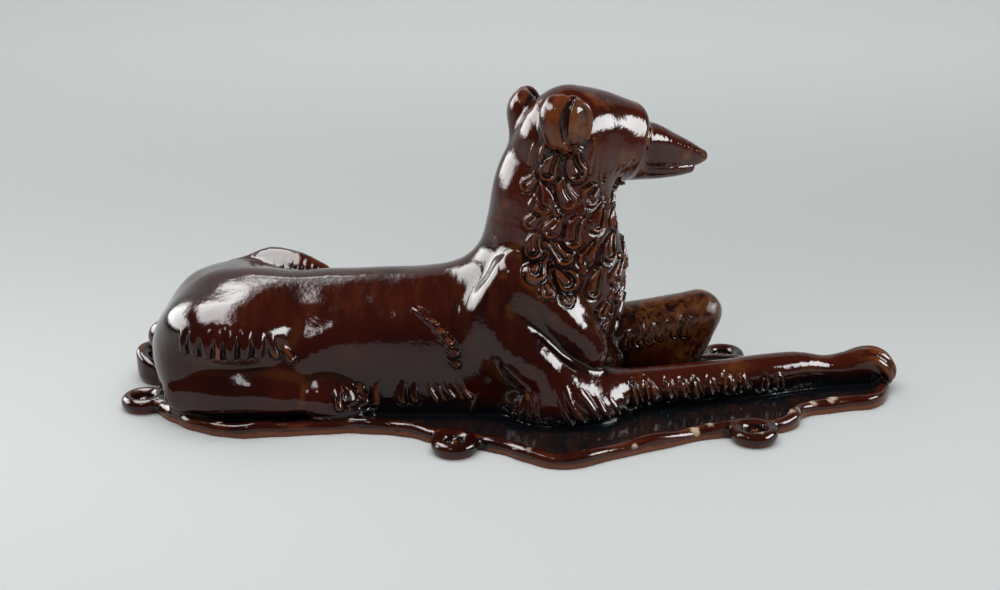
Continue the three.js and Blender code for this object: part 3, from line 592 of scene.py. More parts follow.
# Strands among them, by the ears and the throat.
STRANDS = [
    (-48, 178, -44, 200, 2.5), (-39, 171, -41, 192, 2.5), (-31, 163, -34, 184, 2.4),
    (-22, 150, -30, 168, 2.2), (-121, 184, -111, 205, 2.4), (-108, 187, -99, 205, 2.4),
    (-14, 88, -10, 103, 2.6), (-36, 86, -26, 100, 2.4), (-61, 108, -58, 120, 2.4),
    (-86, 150, -94, 160, 2.4), (-58, 150, -54, 162, 2.6), (-116, 156, -110, 166, 2.6),
]


def neck_coat():
    locks = []
    for side in (-1, 1):
        for i, (turn, z, tip_turn, tip_z, radius) in enumerate(CURLS):
            shift = 0 if side < 0 else 5 * (scatter(i, 2) - 0.5)
            at = on_neck(-side * turn + shift, z + 0.6 * shift)
            tip = on_neck(-side * tip_turn + shift, tip_z)
            bend = side * 0.7 * (scatter(i, 9) - 0.35)
            locks.append(Lock(at, tip, radius * 1.02, 0.36 * radius + 0.9, bend, 0.78, True))
        for i, (turn, z, tip_turn, tip_z, radius) in enumerate(STRANDS):
            at, tip = on_neck(-side * turn, z), on_neck(-side * tip_turn, tip_z)
            locks.append(Lock(at, tip, radius, 1.6, 0.5 * (scatter(i, 5) - 0.5), 0.55))
    return locks


def fringe(roots, tips, count, size, relief, taper=0.5, curl=False):
    """A row of locks that hang from one line to another, with their round ends on the second."""
    src, dst = through(roots, 8), through(tips, 8)

    def read(run, f):
        g = f * (len(run) - 1)
        i = min(int(g), len(run) - 2)
        return run[i] + (run[i + 1] - run[i]) * (g - i)

    f = [(i + 0.3 * scatter(i, count)) / (count - 0.7) for i in range(count)]
    at = settled(form, np.array([read(dst, g) for g in f]))
    root = settled(form, np.array([read(src, g) for g in f]))
    return [
        Lock(
            at[i], root[i], size * (0.85 + 0.3 * scatter(i, 4)), relief * (0.8 + 0.4 * scatter(i, 6)),
            0.6 * scatter(i, 8) - 0.25, taper, curl,
        )
        for i in range(count)
    ]


# Single strands of the near side: root, round end and radius. They part the thigh's edge, fan out at the
# elbow and hang behind the shoulder.
THIGH = [
    (-218, -24, 76, -219, -29, 60, 4.2), (-210, -28, 79, -210, -33, 59, 4.8),
    (-201, -29, 82, -201, -35, 59, 5.2), (-192, -30, 84, -192, -36, 59, 5.4),
    (-183, -30, 84, -184, -37, 59, 5.6), (-174, -30, 82, -175, -36, 59, 5.4),
    (-165, -28, 76, -166, -33, 58, 4.8), (-158, -28, 70, -154, -31, 56, 4.0),
    (-152, -25, 63, -145, -27, 52, 3.8),
]
ELBOW = [
    (-14, -23, 25, -20, -23, 11, 3.0), (-6, -24, 26, -11, -24, 10, 3.0), (3, -24, 27, -1, -26, 9, 3.3),
    (8, -26, 28, 7, -30, 9, 3.0), (14, -28, 29, 14, -34, 9, 2.9), (18, -30, 32, 21, -37, 9, 2.7),
    (23, -33, 33, 28, -40, 9, 2.6), (29, -36, 35, 35, -42, 9, 2.6), (34, -38, 38, 42, -43, 9, 2.6),
    (38, -38, 41, 50, -43, 10, 2.9), (42, -37, 43, 58, -41, 11, 3.4), (49, -35, 43, 68, -38, 12, 3.8),
    (66, -33, 31, 76, -34, 12, 3.3), (76, -29, 27, 84, -28, 11, 2.9), (86, -22, 24, 92, -23, 11, 2.5),
]
TUFT = [
    (-62, -7, 84, -54, -10, 79, 3.2), (-55, -10, 79, -46, -12, 73, 3.6), (-49, -14, 73, -40, -15, 67, 3.8),
    (-44, -16, 66, -35, -17, 60, 3.8), (-40, -18, 59, -31, -19, 53, 3.6), (-38, -20, 51, -30, -20, 45, 3.2),
]


def strands(rows, side, relief, taper=0.5):
    roots = settled(form, np.array([side(r[:3]) for r in rows]))
    ends = settled(form, np.array([side(r[3:6]) for r in rows]))
    return [
        Lock(end, root, row[6], relief * row[6], 0.5 * (scatter(i, 12) - 0.5), taper)
        for i, (end, root, row) in enumerate(zip(ends, roots, rows))
    ]


def fringes(side):
    def run(stations):
        return [side(s) for s in stations]

    return [
        *strands(THIGH, side, 0.78, 0.35),
        *fringe(
            run([(-116, -22, 34), (-90, -22, 34), (-58, -22, 34)]),
            run([(-116, -23, 18), (-90, -23, 17), (-58, -23, 18)]),
            6, 4.6, 4.2, 0.3,
        ),
        *fringe(
            run([(-54, -24, 33), (-42, -23, 36), (-28, -22, 34)]),
            run([(-44, -26, 17), (-33, -26, 19), (-20, -25, 20)]), 5, 3.0, 2.0,
        ),
        *strands(ELBOW, side, 0.8, 0.3),
        *strands(TUFT, side, 0.8, 0.3),
    ]


def leg_coat():
    return [
        *fringe(
            [(92, -12, 25), (120, -4, 24), (146, 1, 23), (172, 7, 22), (204, 15, 20)],
            [(96, -14, 13), (123, -7, 13), (149, -2, 13), (175, 4, 13), (205, 13, 13)],
            10, 5.8, 3.0, 0.5, True,
        ),
        *fringe(
            [(104, -12, 20), (140, -2, 19), (176, 6, 18), (226, 20, 17)],
            [(108, -17, 8), (144, -7, 8), (180, 2, 8), (230, 18, 9)], 10, 4.0, 2.4, 0.4,
        ),
        *fringe(
            [(92, 41, 46), (110, 43, 50), (126, 46, 53), (140, 49, 54)],
            [(90, 40, 35), (107, 42, 38), (122, 45, 41), (138, 48, 40)], 6, 4, 1.5, 0.6, True,
        ),
    ]


def toes():
    """Four ridges over the front of the near paw; the two outer ones lie lower and end sooner."""
    middle = [
        (257, 26.4, 2.2), (266, 28.8, 3.1), (275, 28.8, 3.5), (283, 24.6, 3.8), (288.5, 17, 3.7),
        (289, 11, 3.2),
    ]
    outer = [
        (259, 23, 2.2), (266, 25.2, 3.1), (274, 25.2, 3.4), (281, 21, 3.6), (285.5, 15, 3.4),
        (286, 10.5, 3),
    ]
    rows = [(34.4, outer), (40, middle), (45.6, middle), (51.2, outer)]
    return [limb([(x, y, z, r) for x, z, r in row]) for y, row in rows]


HAIR = [*neck_coat(), *fringes(near_side), *fringes(far_side), *leg_coat()]
HAIR_AT = np.array([l.at for l in HAIR])
HAIR_REACH = np.array([l.reach for l in HAIR])
TOES = toes()


def wobble(x, y, z):
    """The slight unevenness of a form modelled by hand, pressed in a mould and dipped in glaze."""
    big = np.sin(x / 17 + 1.3) * np.sin(y / 15 + z / 21) + np.sin(x / 26 + z / 14 + 2) * np.sin(y / 19)
    small = np.sin(x / 7.1 + 0.4) * np.sin(z / 6.3 + y / 8) * 0.35
    return 0.42 * big + 0.55 * small


def surface(x, y, z):
    d = form(x, y, z)
    close = np.abs(d) < COAT_BAND
    if close.any():
        sx, sy, sz = x[close], y[close], z[close]
        h = np.zeros(sx.shape, F)
        lo = np.array([sx.min(), sy.min(), sz.min()])
        hi = np.array([sx.max(), sy.max(), sz.max()])
        gap = np.maximum(np.maximum(lo - HAIR_AT, HAIR_AT - hi), 0)
        for i in np.flatnonzero(np.sqrt((gap * gap).sum(1)) < HAIR_REACH):
            HAIR[i].lay(h, sx, sy, sz)
        h *= smooth(sz, FLOOR_Z + 1, FLOOR_Z + 4)
        near = d[close] - h - wobble(sx, sy, sz) * smooth(sz, 2, 14)
        if hi[0] > TOES_FROM:
            front = sx > TOES_FROM
            if front.any():
                tip = near[front]
                for toe in TOES:
                    tip = blend(tip, toe(sx[front], sy[front], sz[front]), 1.2)
                near[front] = tip
        d[close] = near
    return np.maximum(d, -z)


# The mesh
def sampled():
    """The field on a grid, worked out only in the blocks that the surface may cross."""
    blocks = [math.ceil((h - l) / STEP / BLOCK) for l, h in zip(LOW, HIGH)]
    size = [b * BLOCK + 1 for b in blocks]
    low = np.array(LOW, F)
    centres = np.stack(np.meshgrid(*(np.arange(b) for b in blocks), indexing="ij"), -1).reshape(-1, 3)
    at = low + (centres + 0.5) * BLOCK * STEP
    mid = form(*(at[:, k].astype(F) for k in range(3)))
    half_diagonal = BLOCK * STEP * math.sqrt(3) / 2
    active = (np.abs(mid) < half_diagonal * SLACK + COAT_HEIGHT).reshape(blocks)
    values = np.where(mid < 0, F(-AWAY), F(AWAY)).reshape(blocks)
    for axis in range(3):
        values = np.repeat(values, BLOCK, axis)
    values = np.pad(values, [(0, 1)] * 3, constant_values=AWAY)
    chunks = []
    for corner in itertools.product(*(range(0, b, SUPER) for b in blocks)):
        here = active[tuple(slice(c, c + SUPER) for c in corner)]
        if not here.any():
            continue
        mask = np.zeros([n * BLOCK + 1 for n in here.shape], bool)
        for i, j, k in np.argwhere(here) * BLOCK:
            mask[i:i + BLOCK + 1, j:j + BLOCK + 1, k:k + BLOCK + 1] = True
        chunks.append(np.argwhere(mask) + np.array(corner) * BLOCK)

    def fill(index):
        p = low + index * F(STEP)
        return surface(*(np.ascontiguousarray(p[:, k], F) for k in range(3)))

    with ThreadPoolExecutor(THREADS) as pool:
        for index, found in zip(chunks, pool.map(fill, chunks)):
            values[index[:, 0], index[:, 1], index[:, 2]] = found
    return values


CORNERS = np.array([[c & 1, (c >> 1) & 1, (c >> 2) & 1] for c in range(8)])


def is_simple(inside):
    """Whether a cell with these corners inside holds one untangled sheet of the surface."""
    def hangs_together(group):
        if not group:
            return False
        reached = group & -group
        for _ in range(4):
            for c in range(8):
                beside = (1 << (c ^ 1)) | (1 << (c ^ 2)) | (1 << (c ^ 4))
                if group & (1 << c) and reached & beside:
                    reached |= 1 << c
        return reached == group

    if inside in (0, 255):
        return True
    if not hangs_together(inside) or not hangs_together(255 - inside):
        return False
    for a, b in ((1, 2), (1, 4), (2, 4)):
        for c in (0, 7 - a - b):
            p, q, r, s = ((inside >> n) & 1 for n in (c, c | a, c | b, c | a | b))
            if p == s and q == r and p != q:
                return False
    return True


def cell_view(grid, c):
    a, b, d = CORNERS[c]
    n = grid.shape
    return grid[a:n[0] - 1 + a, b:n[1] - 1 + b, d:n[2] - 1 + d]


def codes(inside):
    code = np.zeros([n - 1 for n in inside.shape], np.uint8)
    for c in range(8):
        code |= cell_view(inside, c).astype(np.uint8) << c
    return code


def untangled(values):
    """The samples with a few pushed inside, so that the netted surface nowhere touches itself."""
    simple = np.array([is_simple(c) for c in range(256)])
    for _ in range(12):
        odd = np.argwhere(~simple[codes(values < 0)])
        if not len(odd):
            break
        for cell in odd:
            spots = cell + CORNERS
            v = values[spots[:, 0], spots[:, 1], spots[:, 2]]
            v = np.where(v >= 0, v, np.inf)
            if np.isfinite(v).any():
                values[tuple(spots[int(np.argmin(v))])] = -0.1 * STEP
    return values


def netted(values):
    """Surface nets: one point to each cell that the surface crosses."""
    inside = values < 0
    code = codes(inside)
    ids = np.argwhere((code > 0) & (code < 255))
    index = np.full(code.shape, -1, np.int32)
    index[ids[:, 0], ids[:, 1], ids[:, 2]] = np.arange(len(ids))
    corner = np.stack([values[ids[:, 0] + a, ids[:, 1] + b, ids[:, 2] + c] for a, b, c in CORNERS], 1)
    total = np.zeros((len(ids), 3))
    count = np.zeros(len(ids))
    for a in range(8):
        for bit in (1, 2, 4):
            if a & bit:
                continue
            b = a | bit
            va, vb = corner[:, a], corner[:, b]
            crosses = (va < 0) != (vb < 0)
            t = np.where(crosses, va / np.where(crosses, va - vb, 1), 0)
            total += np.where(crosses[:, None], CORNERS[a] + t[:, None] * (CORNERS[b] - CORNERS[a]), 0)
            count += crosses
    points = np.array(LOW) + (ids + total / count[:, None]) * STEP
    quads = []
    for axis in range(3):
        u, v = ((1, 2), (2, 0), (0, 1))[axis]
        head_slice = [slice(None)] * 3
        tail_slice = [slice(None)] * 3
        head_slice[axis] = slice(0, -1)
        tail_slice[axis] = slice(1, None)
        first = inside[tuple(head_slice)]
        edge = np.argwhere(first != inside[tuple(tail_slice)])
        keep = (edge[:, u] > 0) & (edge[:, v] > 0)
        keep &= (edge[:, u] < values.shape[u] - 1) & (edge[:, v] < values.shape[v] - 1)
        edge = edge[keep]
        flip = first[edge[:, 0], edge[:, 1], edge[:, 2]]
        du, dv = np.eye(3, dtype=int)[u], np.eye(3, dtype=int)[v]
        ring = np.stack([index[tuple(c.T)] for c in (edge - du - dv, edge - dv, edge, edge - du)], 1)
        quads.append(np.where(flip[:, None], ring, ring[:, ::-1]))
    quads = np.concatenate(quads)
    faces = np.concatenate([quads[:, [0, 1, 2]], quads[:, [0, 2, 3]]])
    return points, faces


def largest(points, faces):
    """The largest body alone, without bubbles that the coat may close in."""
    label = np.arange(len(points))
    a = faces[:, [0, 1, 2]].ravel()
    b = faces[:, [1, 2, 0]].ravel()
    while True:
        low = np.minimum(label[a], label[b])
        new = label.copy()
        np.minimum.at(new, a, low)
        np.minimum.at(new, b, low)
        new = new[new]
        new = new[new]
        if (new == label).all():
            break
        label = new
    main = np.bincount(label[faces[:, 0]]).argmax()
    faces = faces[label[faces[:, 0]] == main]
    used = np.unique(faces)
    place = np.zeros(len(points), int)
    place[used] = np.arange(len(used))
    return points[used], place[faces]


def as_mesh(name, points, faces):
    mesh = bpy.data.meshes.new(name)
    mesh.vertices.add(len(points))
    mesh.vertices.foreach_set("co", points.astype(F).ravel())
    mesh.loops.add(faces.size)
    mesh.loops.foreach_set("vertex_index", faces.astype(np.int32).ravel())
    mesh.polygons.add(len(faces))
    mesh.polygons.foreach_set("loop_start", np.arange(0, faces.size, 3, dtype=np.int32))
    mesh.update(calc_edges=True)
    return mesh


def thinned(points, faces):
    """Collapsed to the triangles that the piece may have."""
    obj = bpy.data.objects.new("draft", as_mesh("draft", points, faces))
    bpy.context.scene.collection.objects.link(obj)
    if len(faces) > TRIANGLES:
        modifier = obj.modifiers.new("thin", "DECIMATE")
        modifier.ratio = TRIANGLES / len(faces)
    graph = bpy.context.evaluated_depsgraph_get()
    made = bpy.data.meshes.new_from_object(obj.evaluated_get(graph))
    co = np.zeros(len(made.vertices) * 3, F)
    made.vertices.foreach_get("co", co)
    made.calc_loop_triangles()
    tri = np.zeros(len(made.loop_triangles) * 3, np.int32)
    made.loop_triangles.foreach_get("vertices", tri)
    draft = obj.data
    bpy.data.objects.remove(obj)
    bpy.data.meshes.remove(draft)
    bpy.data.meshes.remove(made)
    return co.reshape(-1, 3).astype(float), tri.reshape(-1, 3)


def in_parts(work, p, rows=20000):
    """The rows of p worked on in threads, in boxes of neighbours."""
    order = np.lexsort((p[:, 2] // 40, p[:, 1] // 40, p[:, 0] // 40))
    pieces = [order[i:i + rows] for i in range(0, len(p), rows)]
    with ThreadPoolExecutor(THREADS) as pool:
        made = list(pool.map(lambda i: work(p[i]), pieces))
    out = np.empty((len(p),) + made[0].shape[1:], made[0].dtype)
    for i, m in zip(pieces, made):
        out[i] = m
    return out


grid = sampled()
grid = untangled(grid)
points, faces = largest(*netted(grid))
points, faces = thinned(points, faces)


def relaid(p):
    """The points moved back onto the surface, with those of the underside laid flat."""
    q = settled(surface, p, 2)
    q = np.where(p[:, 2:] > LEVEL_BELOW, q, p)
    q[:, 2] = np.where(q[:, 2] < FLAT_BELOW, 0, q[:, 2])
    return q


points = in_parts(relaid, points)


def reading(p):
    """The way out, then how hollow and how proud the surface is, each at two distances."""
    n = outward(surface, p, 0.35)
    n[p[:, 2] < 0.02] = (0, 0, -1)
    marks = [n[:, 0], n[:, 1], n[:, 2]]
    for h in HOLLOW_AT:
        marks.append(np.clip(1 - value(surface, p + n * h) / h, -1, 1))
    for h in EDGE_AT:
        marks.append(np.clip(1 + value(surface, p - n * h) / h, -1, 1))
    return np.stack(marks, 1).astype(F)


def from_ears(x, y, z):
    """The distance from the middle of either ear, in the head's own frame."""
    return length(x + 23, (np.abs(y) - 36) * 0.8, (z - 13) * 0.7)


marks = in_parts(reading, points)

x, y, z = (np.ascontiguousarray(points[:, k], F) for k in range(3))
inset = -plan(x, y)
floor = smooth(inset, 6, 9) * (1 - smooth(z, 9, 24))
leg_gap = value(limb([
    (75, 58, 38, 22), (110, 61, 43, 19), (147, 63, 53, 16), (143, 62, 32, 13), (132, 60, 18, 12),
]), points)
mottle = 1 - smooth(leg_gap, 1, 7)
mottle *= smooth(x, 70, 100) * smooth(y, 38, 46)
back = smooth(z, 62, 92) * (1 - smooth(x, -12, 20)) * smooth(x, -250, -190)
warm = smooth(z, 55, 110) * smooth(x, -25, 15)
flap = value(turned(from_ears, HEAD_AT, *HEAD_TURN), points)
amber = 1 - smooth(flap, 5, 12)
fore = smooth(x, 60, 110) * smooth(z, 12, 20)
CHIPS = [  # middle and radius of the flakes missing from the rim
    (135, -48, 3.2), (146, -41, 1.8), (179, -54, 3.0), (205, -21, 3.0), (224, -5, 1.9), (238, 2, 3.2),
    (166, -38, 1.2), (211, -17, 1.6), (92, -70, 1.2), (20, -80, 1.3), (-196, -37, 1.2),
]
ragged = 0.7 * np.sin(x / 1.7 + np.sin(y / 1.3) * 2) + 0.5 * np.sin(y / 1.1 + x / 2.9)
chip = np.zeros(len(points), F)
for cx, cy, radius in CHIPS:
    away = length(x - cx, y - cy, (z - 8.5) * 0.8) + ragged
    chip = np.maximum(chip, 1 - smooth(away, radius - 0.2, radius + 0.8))
chip *= 1 - smooth(inset, 7, 9)

mesh = as_mesh("dog", (points - np.array(CENTRE)) / MM, faces)
# pool and pool_and_shade_fine carry how hollow the surface is; the glaze darkens them as pooled glaze and
# painted shade.
LAYERS = {
    "pool_and_shade_fine": marks[:, 3], "pool": marks[:, 4], "edge_fine": marks[:, 5], "edge": marks[:, 6],
    "floor": floor, "mottle": mottle, "back": back, "warm": np.maximum(warm, 0.55 * fore), "chip": chip,
    "amber": amber,
}
for name, numbers in LAYERS.items():
    layer = mesh.attributes.new(name, "FLOAT", "POINT")
    layer.data.foreach_set("value", np.ascontiguousarray(numbers, F))
mesh.polygons.foreach_set("use_smooth", np.ones(len(mesh.polygons), bool))
mesh.normals_split_custom_set_from_vertices(marks[:, :3].tolist())
dog = bpy.data.objects.new("dog", mesh)
bpy.context.scene.collection.objects.link(dog)
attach(dog, "root")
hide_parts(NODE)


# The glaze
MIX_A, MIX_B, MIX_RESULT = 6, 7, 2  # the colour sockets of a mix node

# Linear colours. Where there are two, the glaze drifts from one to the other.
RED = (0.014, 0.0017, 0.0012), (0.041, 0.0042, 0.0018)
LIGHT_RED = (0.036, 0.0044, 0.0022), (0.083, 0.0125, 0.0043)
CLAY = (0.42, 0.30, 0.20), (0.62, 0.50, 0.38)
THIN_EDGE = (0.200, 0.052, 0.0110)
AMBER = (0.180, 0.055, 0.0120)
BRUSHED = (0.076, 0.0140, 0.0038)
OCHRE = (0.140, 0.044, 0.0110)
NEAR_BLACK = (0.007, 0.003, 0.0022)
# Glaze pooled in hollows, also used as painted shade in creases.
POOLED_AND_SHADED = (0.0060, 0.0024, 0.0024)
BLUE_BLACK = (0.0035, 0.0060, 0.0080)
DARK_SPECK = (0.010, 0.003, 0.0025)


class Nodes:
    def __init__(self, name):
        self.material = bpy.data.materials.new(name)
        self.material.use_nodes = True
        self.tree = self.material.node_tree
        self.tree.nodes.clear()

    def add(self, kind, values=None, **settings):
        node = self.tree.nodes.new(kind)
        for key, v in settings.items():
            setattr(node, key, v)
        for key, v in (values or {}).items():
            if isinstance(v, bpy.types.NodeSocket):
                self.tree.links.new(v, node.inputs[key])
            else:
                node.inputs[key].default_value = v
        return node

    def attribute(self, name):
        return self.add("ShaderNodeAttribute", attribute_name=name).outputs["Fac"]

    def math(self, op, a, b=0.0, clamp=False):
        return self.add("ShaderNodeMath", {0: a, 1: b}, operation=op, use_clamp=clamp).outputs[0]

    def span(self, v, lo, hi, to_lo=0.0, to_hi=1.0):
        node = self.add("ShaderNodeMapRange", {
            "Value": v, "From Min": lo, "From Max": hi, "To Min": to_lo, "To Max": to_hi,
        })
        node.interpolation_type = "SMOOTHSTEP"
        return node.outputs[0]

    def mix(self, f, a, b):
        node = self.tree.nodes.new("ShaderNodeMix")
        node.data_type = "RGBA"
        for key, v in (("Factor", f), (MIX_A, a), (MIX_B, b)):
            if isinstance(v, bpy.types.NodeSocket):
                self.tree.links.new(v, node.inputs[key])
            else:
                node.inputs[key].default_value = v if key == "Factor" else (*v, 1)
        return node.outputs[MIX_RESULT]

    def noise(self, at, scale, detail=4.0, rough=0.55, distortion=0.0):
        return self.add("ShaderNodeTexNoise", {
            "Vector": at, "Scale": scale, "Detail": detail, "Roughness": rough, "Distortion": distortion,
        }).outputs["Fac"]


def glaze():
    n = Nodes("brown_glaze")
    where = n.add("ShaderNodeTexCoord").outputs["Object"]
    streaked = n.add("ShaderNodeMapping", {"Vector": where, "Scale": (1.0, 0.25, 0.22)}).outputs[0]
    pool, pool_and_shade_fine, edge, edge_fine = (n.attribute(k) for k in ("pool", "pool_and_shade_fine", "edge", "edge_fine"))
    floor, mottle, back = (n.attribute(k) for k in ("floor", "mottle", "back"))
    warm, chip, amber = (n.attribute(k) for k in ("warm", "chip", "amber"))
    broad = n.noise(where, 14.0, 4.0)
    streak = n.noise(streaked, 130.0, 6.0, 0.66)
    speck = n.noise(where, 420.0, 3.0, 0.6)
    blotch = n.noise(where, 150.0, 6.0, 0.72, 0.6)

    red = n.mix(n.span(broad, 0.32, 0.68), *RED)
    light = n.mix(n.span(broad, 0.3, 0.7), *LIGHT_RED)
    colour = n.mix(n.math("MULTIPLY", warm, n.span(streak, 0.2, 0.8, 0.75, 1.0)), red, light)
    thin = n.math("MULTIPLY", n.span(edge_fine, 0.05, 0.5), 0.6)
    thin = n.math("ADD", thin, n.math("MULTIPLY", n.span(edge, 0.05, 0.42), 0.8), True)
    thin = n.math("MULTIPLY", thin, n.span(broad, 0.25, 0.75, 0.5, 0.9))
    colour = n.mix(thin, colour, THIN_EDGE)
    dabs = n.math("MULTIPLY", n.math("MULTIPLY", warm, n.span(n.noise(where, 52.0, 3.0), 0.54, 0.70)), 0.7)
    dabs = n.math("ADD", dabs, n.math("MULTIPLY", amber, n.span(blotch, 0.34, 0.56)), True)
    colour = n.mix(dabs, colour, AMBER)
    share = n.math("ADD", n.math("MULTIPLY", back, 0.62), 0.06)
    brushed = n.math("MULTIPLY", n.span(streak, 0.42, 0.70), share)
    colour = n.mix(brushed, colour, BRUSHED)
    colour = n.mix(n.math("MULTIPLY", mottle, n.span(blotch, 0.40, 0.62)), colour, OCHRE)
    colour = n.mix(n.math("MULTIPLY", mottle, n.span(blotch, 0.47, 0.36)), colour, NEAR_BLACK)
    # Hollows darken towards near black: glaze pooled thick there, with painted shade in the creases and
    # grooves.
    fine = n.math("MULTIPLY", n.span(pool_and_shade_fine, 0.05, 0.36), 0.85)
    deep_pool_and_shade = n.math("ADD", n.span(pool, 0.10, 0.50), fine, True)
    colour = n.mix(n.math("MULTIPLY", deep_pool_and_shade, 0.9), colour, POOLED_AND_SHADED)
    foot = n.math("MULTIPLY", floor, n.span(streak, 0.25, 0.75, 1.0, 0.8))
    colour = n.mix(foot, colour, BLUE_BLACK)
    colour = n.mix(n.math("MULTIPLY", n.span(speck, 0.62, 0.8), 0.25), colour, DARK_SPECK)
    clay = n.mix(n.span(speck, 0.35, 0.65), *CLAY)
    colour = n.mix(chip, colour, clay)

    grain = n.noise(where, 300.0, 3.0, 0.6)
    swell = n.math("MULTIPLY", n.noise(where, 70.0, 3.0), 0.9)
    height = n.math("ADD", n.math("MULTIPLY", grain, 0.16), swell)
    height = n.math("ADD", height, n.math("MULTIPLY", streak, 0.12))
    height = n.math("ADD", height, n.math("MULTIPLY", n.math("MULTIPLY", mottle, blotch), 1.4))
    relief = n.add("ShaderNodeBump", {"Strength": 0.42, "Distance": 0.0012, "Height": height}).outputs[0]
    gloss = n.math("SUBTRACT", 1.0, n.math("MULTIPLY", chip, 0.9))
    shader = n.add("ShaderNodeBsdfPrincipled", {
        "Base Color": colour, "Roughness": 0.5, "IOR": 1.45, "Specular IOR Level": 0.0,
        "Coat Weight": gloss, "Coat Roughness": 0.09, "Coat IOR": 1.45,
        "Normal": relief, "Coat Normal": relief,
    })
    n.add("ShaderNodeOutputMaterial", {"Surface": shader.outputs[0]})
    return n.material


dog.data.materials.append(glaze())


# The stage
def stage():
    n = Nodes("studio_paper")
    depth = n.add("ShaderNodeSeparateXYZ", {0: n.add("ShaderNodeTexCoord").outputs["Object"]}).outputs[1]
    # The paper's tone is painted: darker just behind the dog as painted shade, lighter further back and up
    # the wall as painted light.
    paper_painted_light_and_shade = n.mix(n.span(depth, -0.15, 0.35), (0.605, 0.622, 0.617), (0.49, 0.503, 0.50))
    paper_painted_light_and_shade = n.mix(n.span(depth, 0.40, 1.30), paper_painted_light_and_shade, (0.70, 0.718, 0.712))
    shader = n.add("ShaderNodeBsdfPrincipled", {"Base Color": paper_painted_light_and_shade, "Roughness": 0.9})
    n.add("ShaderNodeOutputMaterial", {"Surface": shader.outputs[0]})
    front, bend, radius, wall, top, side = -2.2, 1.3, 0.9, 2.2, 3.2, 3.2
    profile = [(front, 0.0), (bend, 0.0)]
    for k in range(1, 11):
        a = math.radians(9 * k)
        profile.append((bend + radius * math.sin(a), radius - radius * math.cos(a)))
    profile.append((wall, top))
    rows = [[(x, y, z) for y, z in profile] for x in (-side, side)]
    verts = [p for r in rows for p in r]
    m = len(profile)
    quads = [(i, i + m, i + m + 1, i + 1) for i in range(m - 1)]
    mesh = bpy.data.meshes.new("sweep")
    mesh.from_pydata(verts, [], quads)
    mesh.polygons.foreach_set("use_smooth", np.ones(len(mesh.polygons), bool))
    obj = bpy.data.objects.new("sweep", mesh)
    obj.data.materials.append(n.material)
    bpy.context.scene.collection.objects.link(obj)


stage()


def area(name, at, target, size, power, colour=(1, 1, 1)):
    light = bpy.data.lights.new(name, "AREA")
    light.shape = "RECTANGLE"
    light.size, light.size_y = size
    light.energy = power
    light.color = colour
    obj = bpy.data.objects.new(name, light)
    obj.location = at
    obj.rotation_euler = (Vector(target) - Vector(at)).to_track_quat("-Z", "Y").to_euler()
    obj.visible_camera = False
    bpy.context.scene.collection.objects.link(obj)
    return obj


def soften(obj, edge):
    """Lets a softbox fade towards its edges."""
    light = obj.data
    light.use_nodes = True
    tree = light.node_tree
    emission = tree.nodes["Emission"]
    place = tree.nodes.new("ShaderNodeNewGeometry")
    split = tree.nodes.new("ShaderNodeSeparateXYZ")
    tree.links.new(place.outputs["Parametric"], split.inputs[0])
    product = None
    for axis in range(2):
        inner = tree.nodes.new("ShaderNodeMath")
        inner.operation = "PINGPONG"
        inner.inputs[1].default_value = 0.5
        tree.links.new(split.outputs[axis], inner.inputs[0])
        fade = tree.nodes.new("ShaderNodeMapRange")
        fade.interpolation_type = "SMOOTHSTEP"
        fade.inputs["From Max"].default_value = edge
        tree.links.new(inner.outputs[0], fade.inputs["Value"])
        if product is None:
            product = fade.outputs[0]
            continue
        both = tree.nodes.new("ShaderNodeMath")
        both.operation = "MULTIPLY"
        tree.links.new(product, both.inputs[0])
        tree.links.new(fade.outputs[0], both.inputs[1])
        tree.links.new(both.outputs[0], emission.inputs["Strength"])


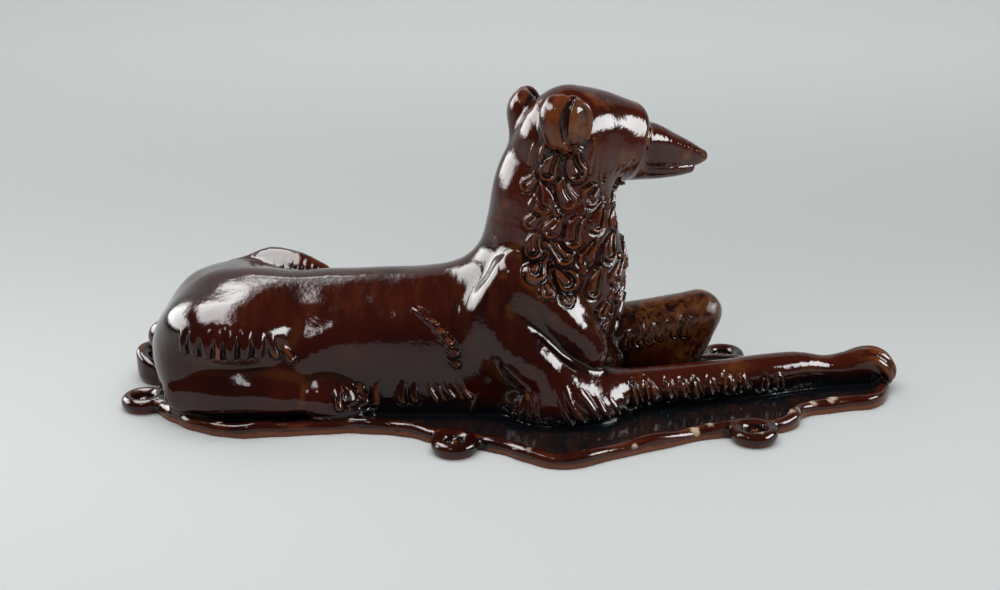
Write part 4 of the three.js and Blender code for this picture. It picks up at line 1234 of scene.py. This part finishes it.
boxes = [
    area("softbox_left", (-0.98, 0.34, 0.42), (0, 0, 0.13), (1.15, 0.62), 26, (1, 0.99, 0.98)),
    area("softbox_right", (1.01, -0.19, 0.49), (0.06, 0, 0.2), (0.84, 0.44), 21, (0.98, 0.99, 1.0)),
    area("softbox_top", (-0.345, 0.10, 0.45), (-0.345, 0.10, 0), (0.35, 0.60), 8),
    area("softbox_rump", (-0.215, 0.31, 0.45), (-0.215, 0.31, 0), (0.12, 0.32), 1.4),
    area("softbox_front", (-0.33, -0.62, 0.75), (-0.19, -0.02, 0.05), (0.18, 0.24), 1.2),
]
for box, edge in zip(boxes, (0.25, 0.13, 0.2, 0.25, 0.3)):
    box.visible_diffuse = False
    soften(box, edge)
fill = area("fill", (0, -0.3, 1.9), (0, 0.0, 0), (2.4, 2.0), 28, (1.0, 0.995, 0.985))
wash = area("wash", (0, 0.5, 2.9), (0, 2.2, 1.1), (3.0, 0.6), 16, (1.0, 0.998, 0.99))
for light in (fill, wash):
    light.visible_glossy = False

world = bpy.data.worlds.new("studio")
bpy.context.scene.world = world
world.use_nodes = True
sky = world.node_tree
# Reflections see a darker room than the one that lights the scene.
room, dark = sky.nodes["Background"], sky.nodes.new("ShaderNodeBackground")
for node, strength in ((room, 0.55), (dark, 0.07)):
    node.inputs["Color"].default_value = (0.70, 0.74, 0.76, 1)
    node.inputs["Strength"].default_value = strength
ray = sky.nodes.new("ShaderNodeLightPath")
both = sky.nodes.new("ShaderNodeMixShader")
sky.links.new(ray.outputs["Is Glossy Ray"], both.inputs[0])
sky.links.new(room.outputs[0], both.inputs[1])
sky.links.new(dark.outputs[0], both.inputs[2])
sky.links.new(both.outputs[0], sky.nodes["World Output"].inputs[0])
bpy.context.scene.view_settings.view_transform = "Standard"

camera_data = bpy.data.cameras.new("camera")
camera = bpy.data.objects.new("camera", camera_data)
bpy.context.scene.collection.objects.link(camera)
camera_data.sensor_width = SENSOR
camera_data.lens = PHOTO_FOCAL / PHOTO_WIDTH * SENSOR
aim = Vector((-CENTRE[0] / MM, -CENTRE[1] / MM, 0.09))
tilt = math.radians(CAMERA_RISE)
camera.location = aim + CAMERA_AWAY * Vector((0, -math.cos(tilt), math.sin(tilt)))
camera.rotation_euler = (aim - camera.location).to_track_quat("-Z", "Y").to_euler()
bpy.context.scene.camera = camera
